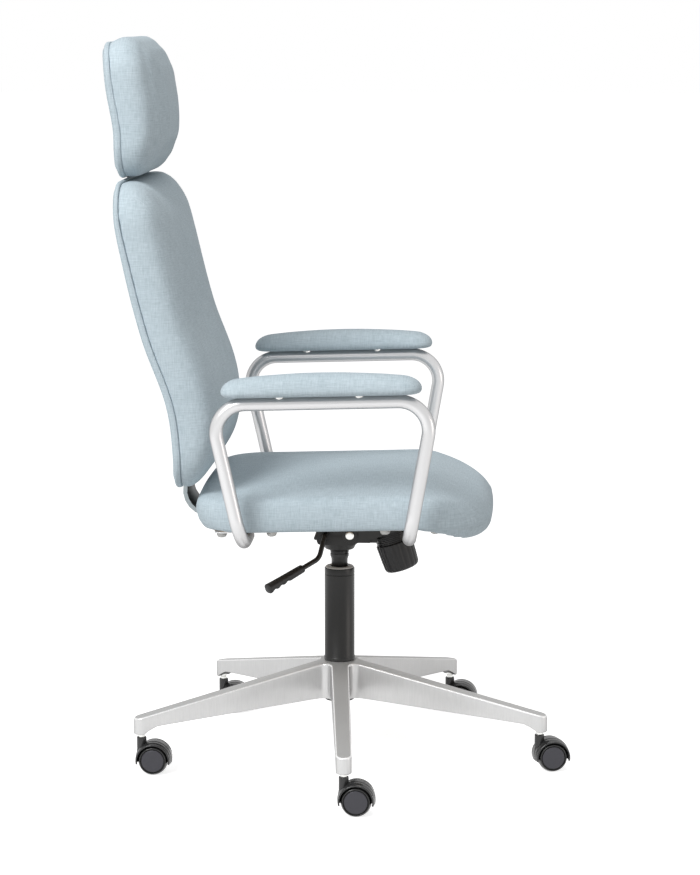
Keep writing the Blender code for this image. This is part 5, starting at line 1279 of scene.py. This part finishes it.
lightSettings = {"ambient": 0.34, "floor": 0.70, "glow": 0.80, "floorHalf": 40}
lampSettings = {                                    # place, height of its aim, size, power, tint
    "keyLamp": ((-2.74, 1.85, 3.09), 0.6, 2.0, 137.0, (1, 1, 1)),
    "topLamp": ((-0.6, -0.8, 3.9), 0.5, 1.5, 22.0, (1, 1, 1)),
    "fillLamp": ((-1.2, -4.0, 0.7), 0.7, 2.2, 25.0, (1.0, 0.92, 0.86))}


def floorLook():
    s = lightSettings
    look = bpy.data.materials.new("paleFloor")
    look.use_nodes = True
    look.node_tree.nodes.clear()
    board = Board(look.node_tree)
    matt = board.add("ShaderNodeBsdfDiffuse", None, {"Color": (s["floor"], s["floor"], s["floor"], 1)})
    glow = board.add("ShaderNodeEmission", None,
                     {"Color": (1, 1, 1, 1), "Strength": board.shown() * s["glow"]})
    both = board.add("ShaderNodeAddShader", None, {0: matt, 1: glow})
    board.add("ShaderNodeOutputMaterial", None, {"Surface": both})
    return look


floorData = bpy.data.meshes.new("floor")
far = lightSettings["floorHalf"]
floorData.from_pydata([(-far, -far, 0), (far, -far, 0), (far, far, 0), (-far, far, 0)], [], [(0, 1, 2, 3)])
floorData.materials.append(floorLook())
floor = benchObject(floorData, "floor")

world = bpy.data.worlds.new("studio")
scene.world = world
world.use_nodes = True
board = Board(world.node_tree)
level = lightSettings["ambient"] + board.shown() * (1.0 - lightSettings["ambient"])
sky = world.node_tree.nodes["Background"]
sky.inputs["Color"].default_value = (1, 1, 1, 1)
feed(board, sky, Strength=level)

for name, (place, aim, size, power, tint) in lampSettings.items():
    data = bpy.data.lights.new(name, "AREA")
    data.shape, data.size, data.energy, data.color = "DISK", size, power, tint
    lamp = benchObject(data, name)
    lamp.location = place
    lamp.rotation_euler = (Vector((0, 0, aim)) - Vector(place)).to_track_quat("-Z", "Y").to_euler()

cameraFit = {"place": (-4.4354, -0.27727, 1.2668), "yaw": 0.0584, "pitch": 0.1585, "lens": 108.43,
             "sensor": 36.0}
cameraData = bpy.data.cameras.new("camera")
cameraData.lens, cameraData.sensor_width = cameraFit["lens"], cameraFit["sensor"]
cameraData.sensor_fit = "AUTO"
camera = benchObject(cameraData, "camera")
yaw, pitch = cameraFit["yaw"], cameraFit["pitch"]
ahead = Vector((cos(pitch) * cos(yaw), cos(pitch) * sin(yaw), -sin(pitch)))
camera.location = columnAt @ Vector(cameraFit["place"])
camera.rotation_euler = ahead.to_track_quat("-Z", "Y").to_euler()
scene.camera = camera
scene.view_settings.view_transform = "Standard"
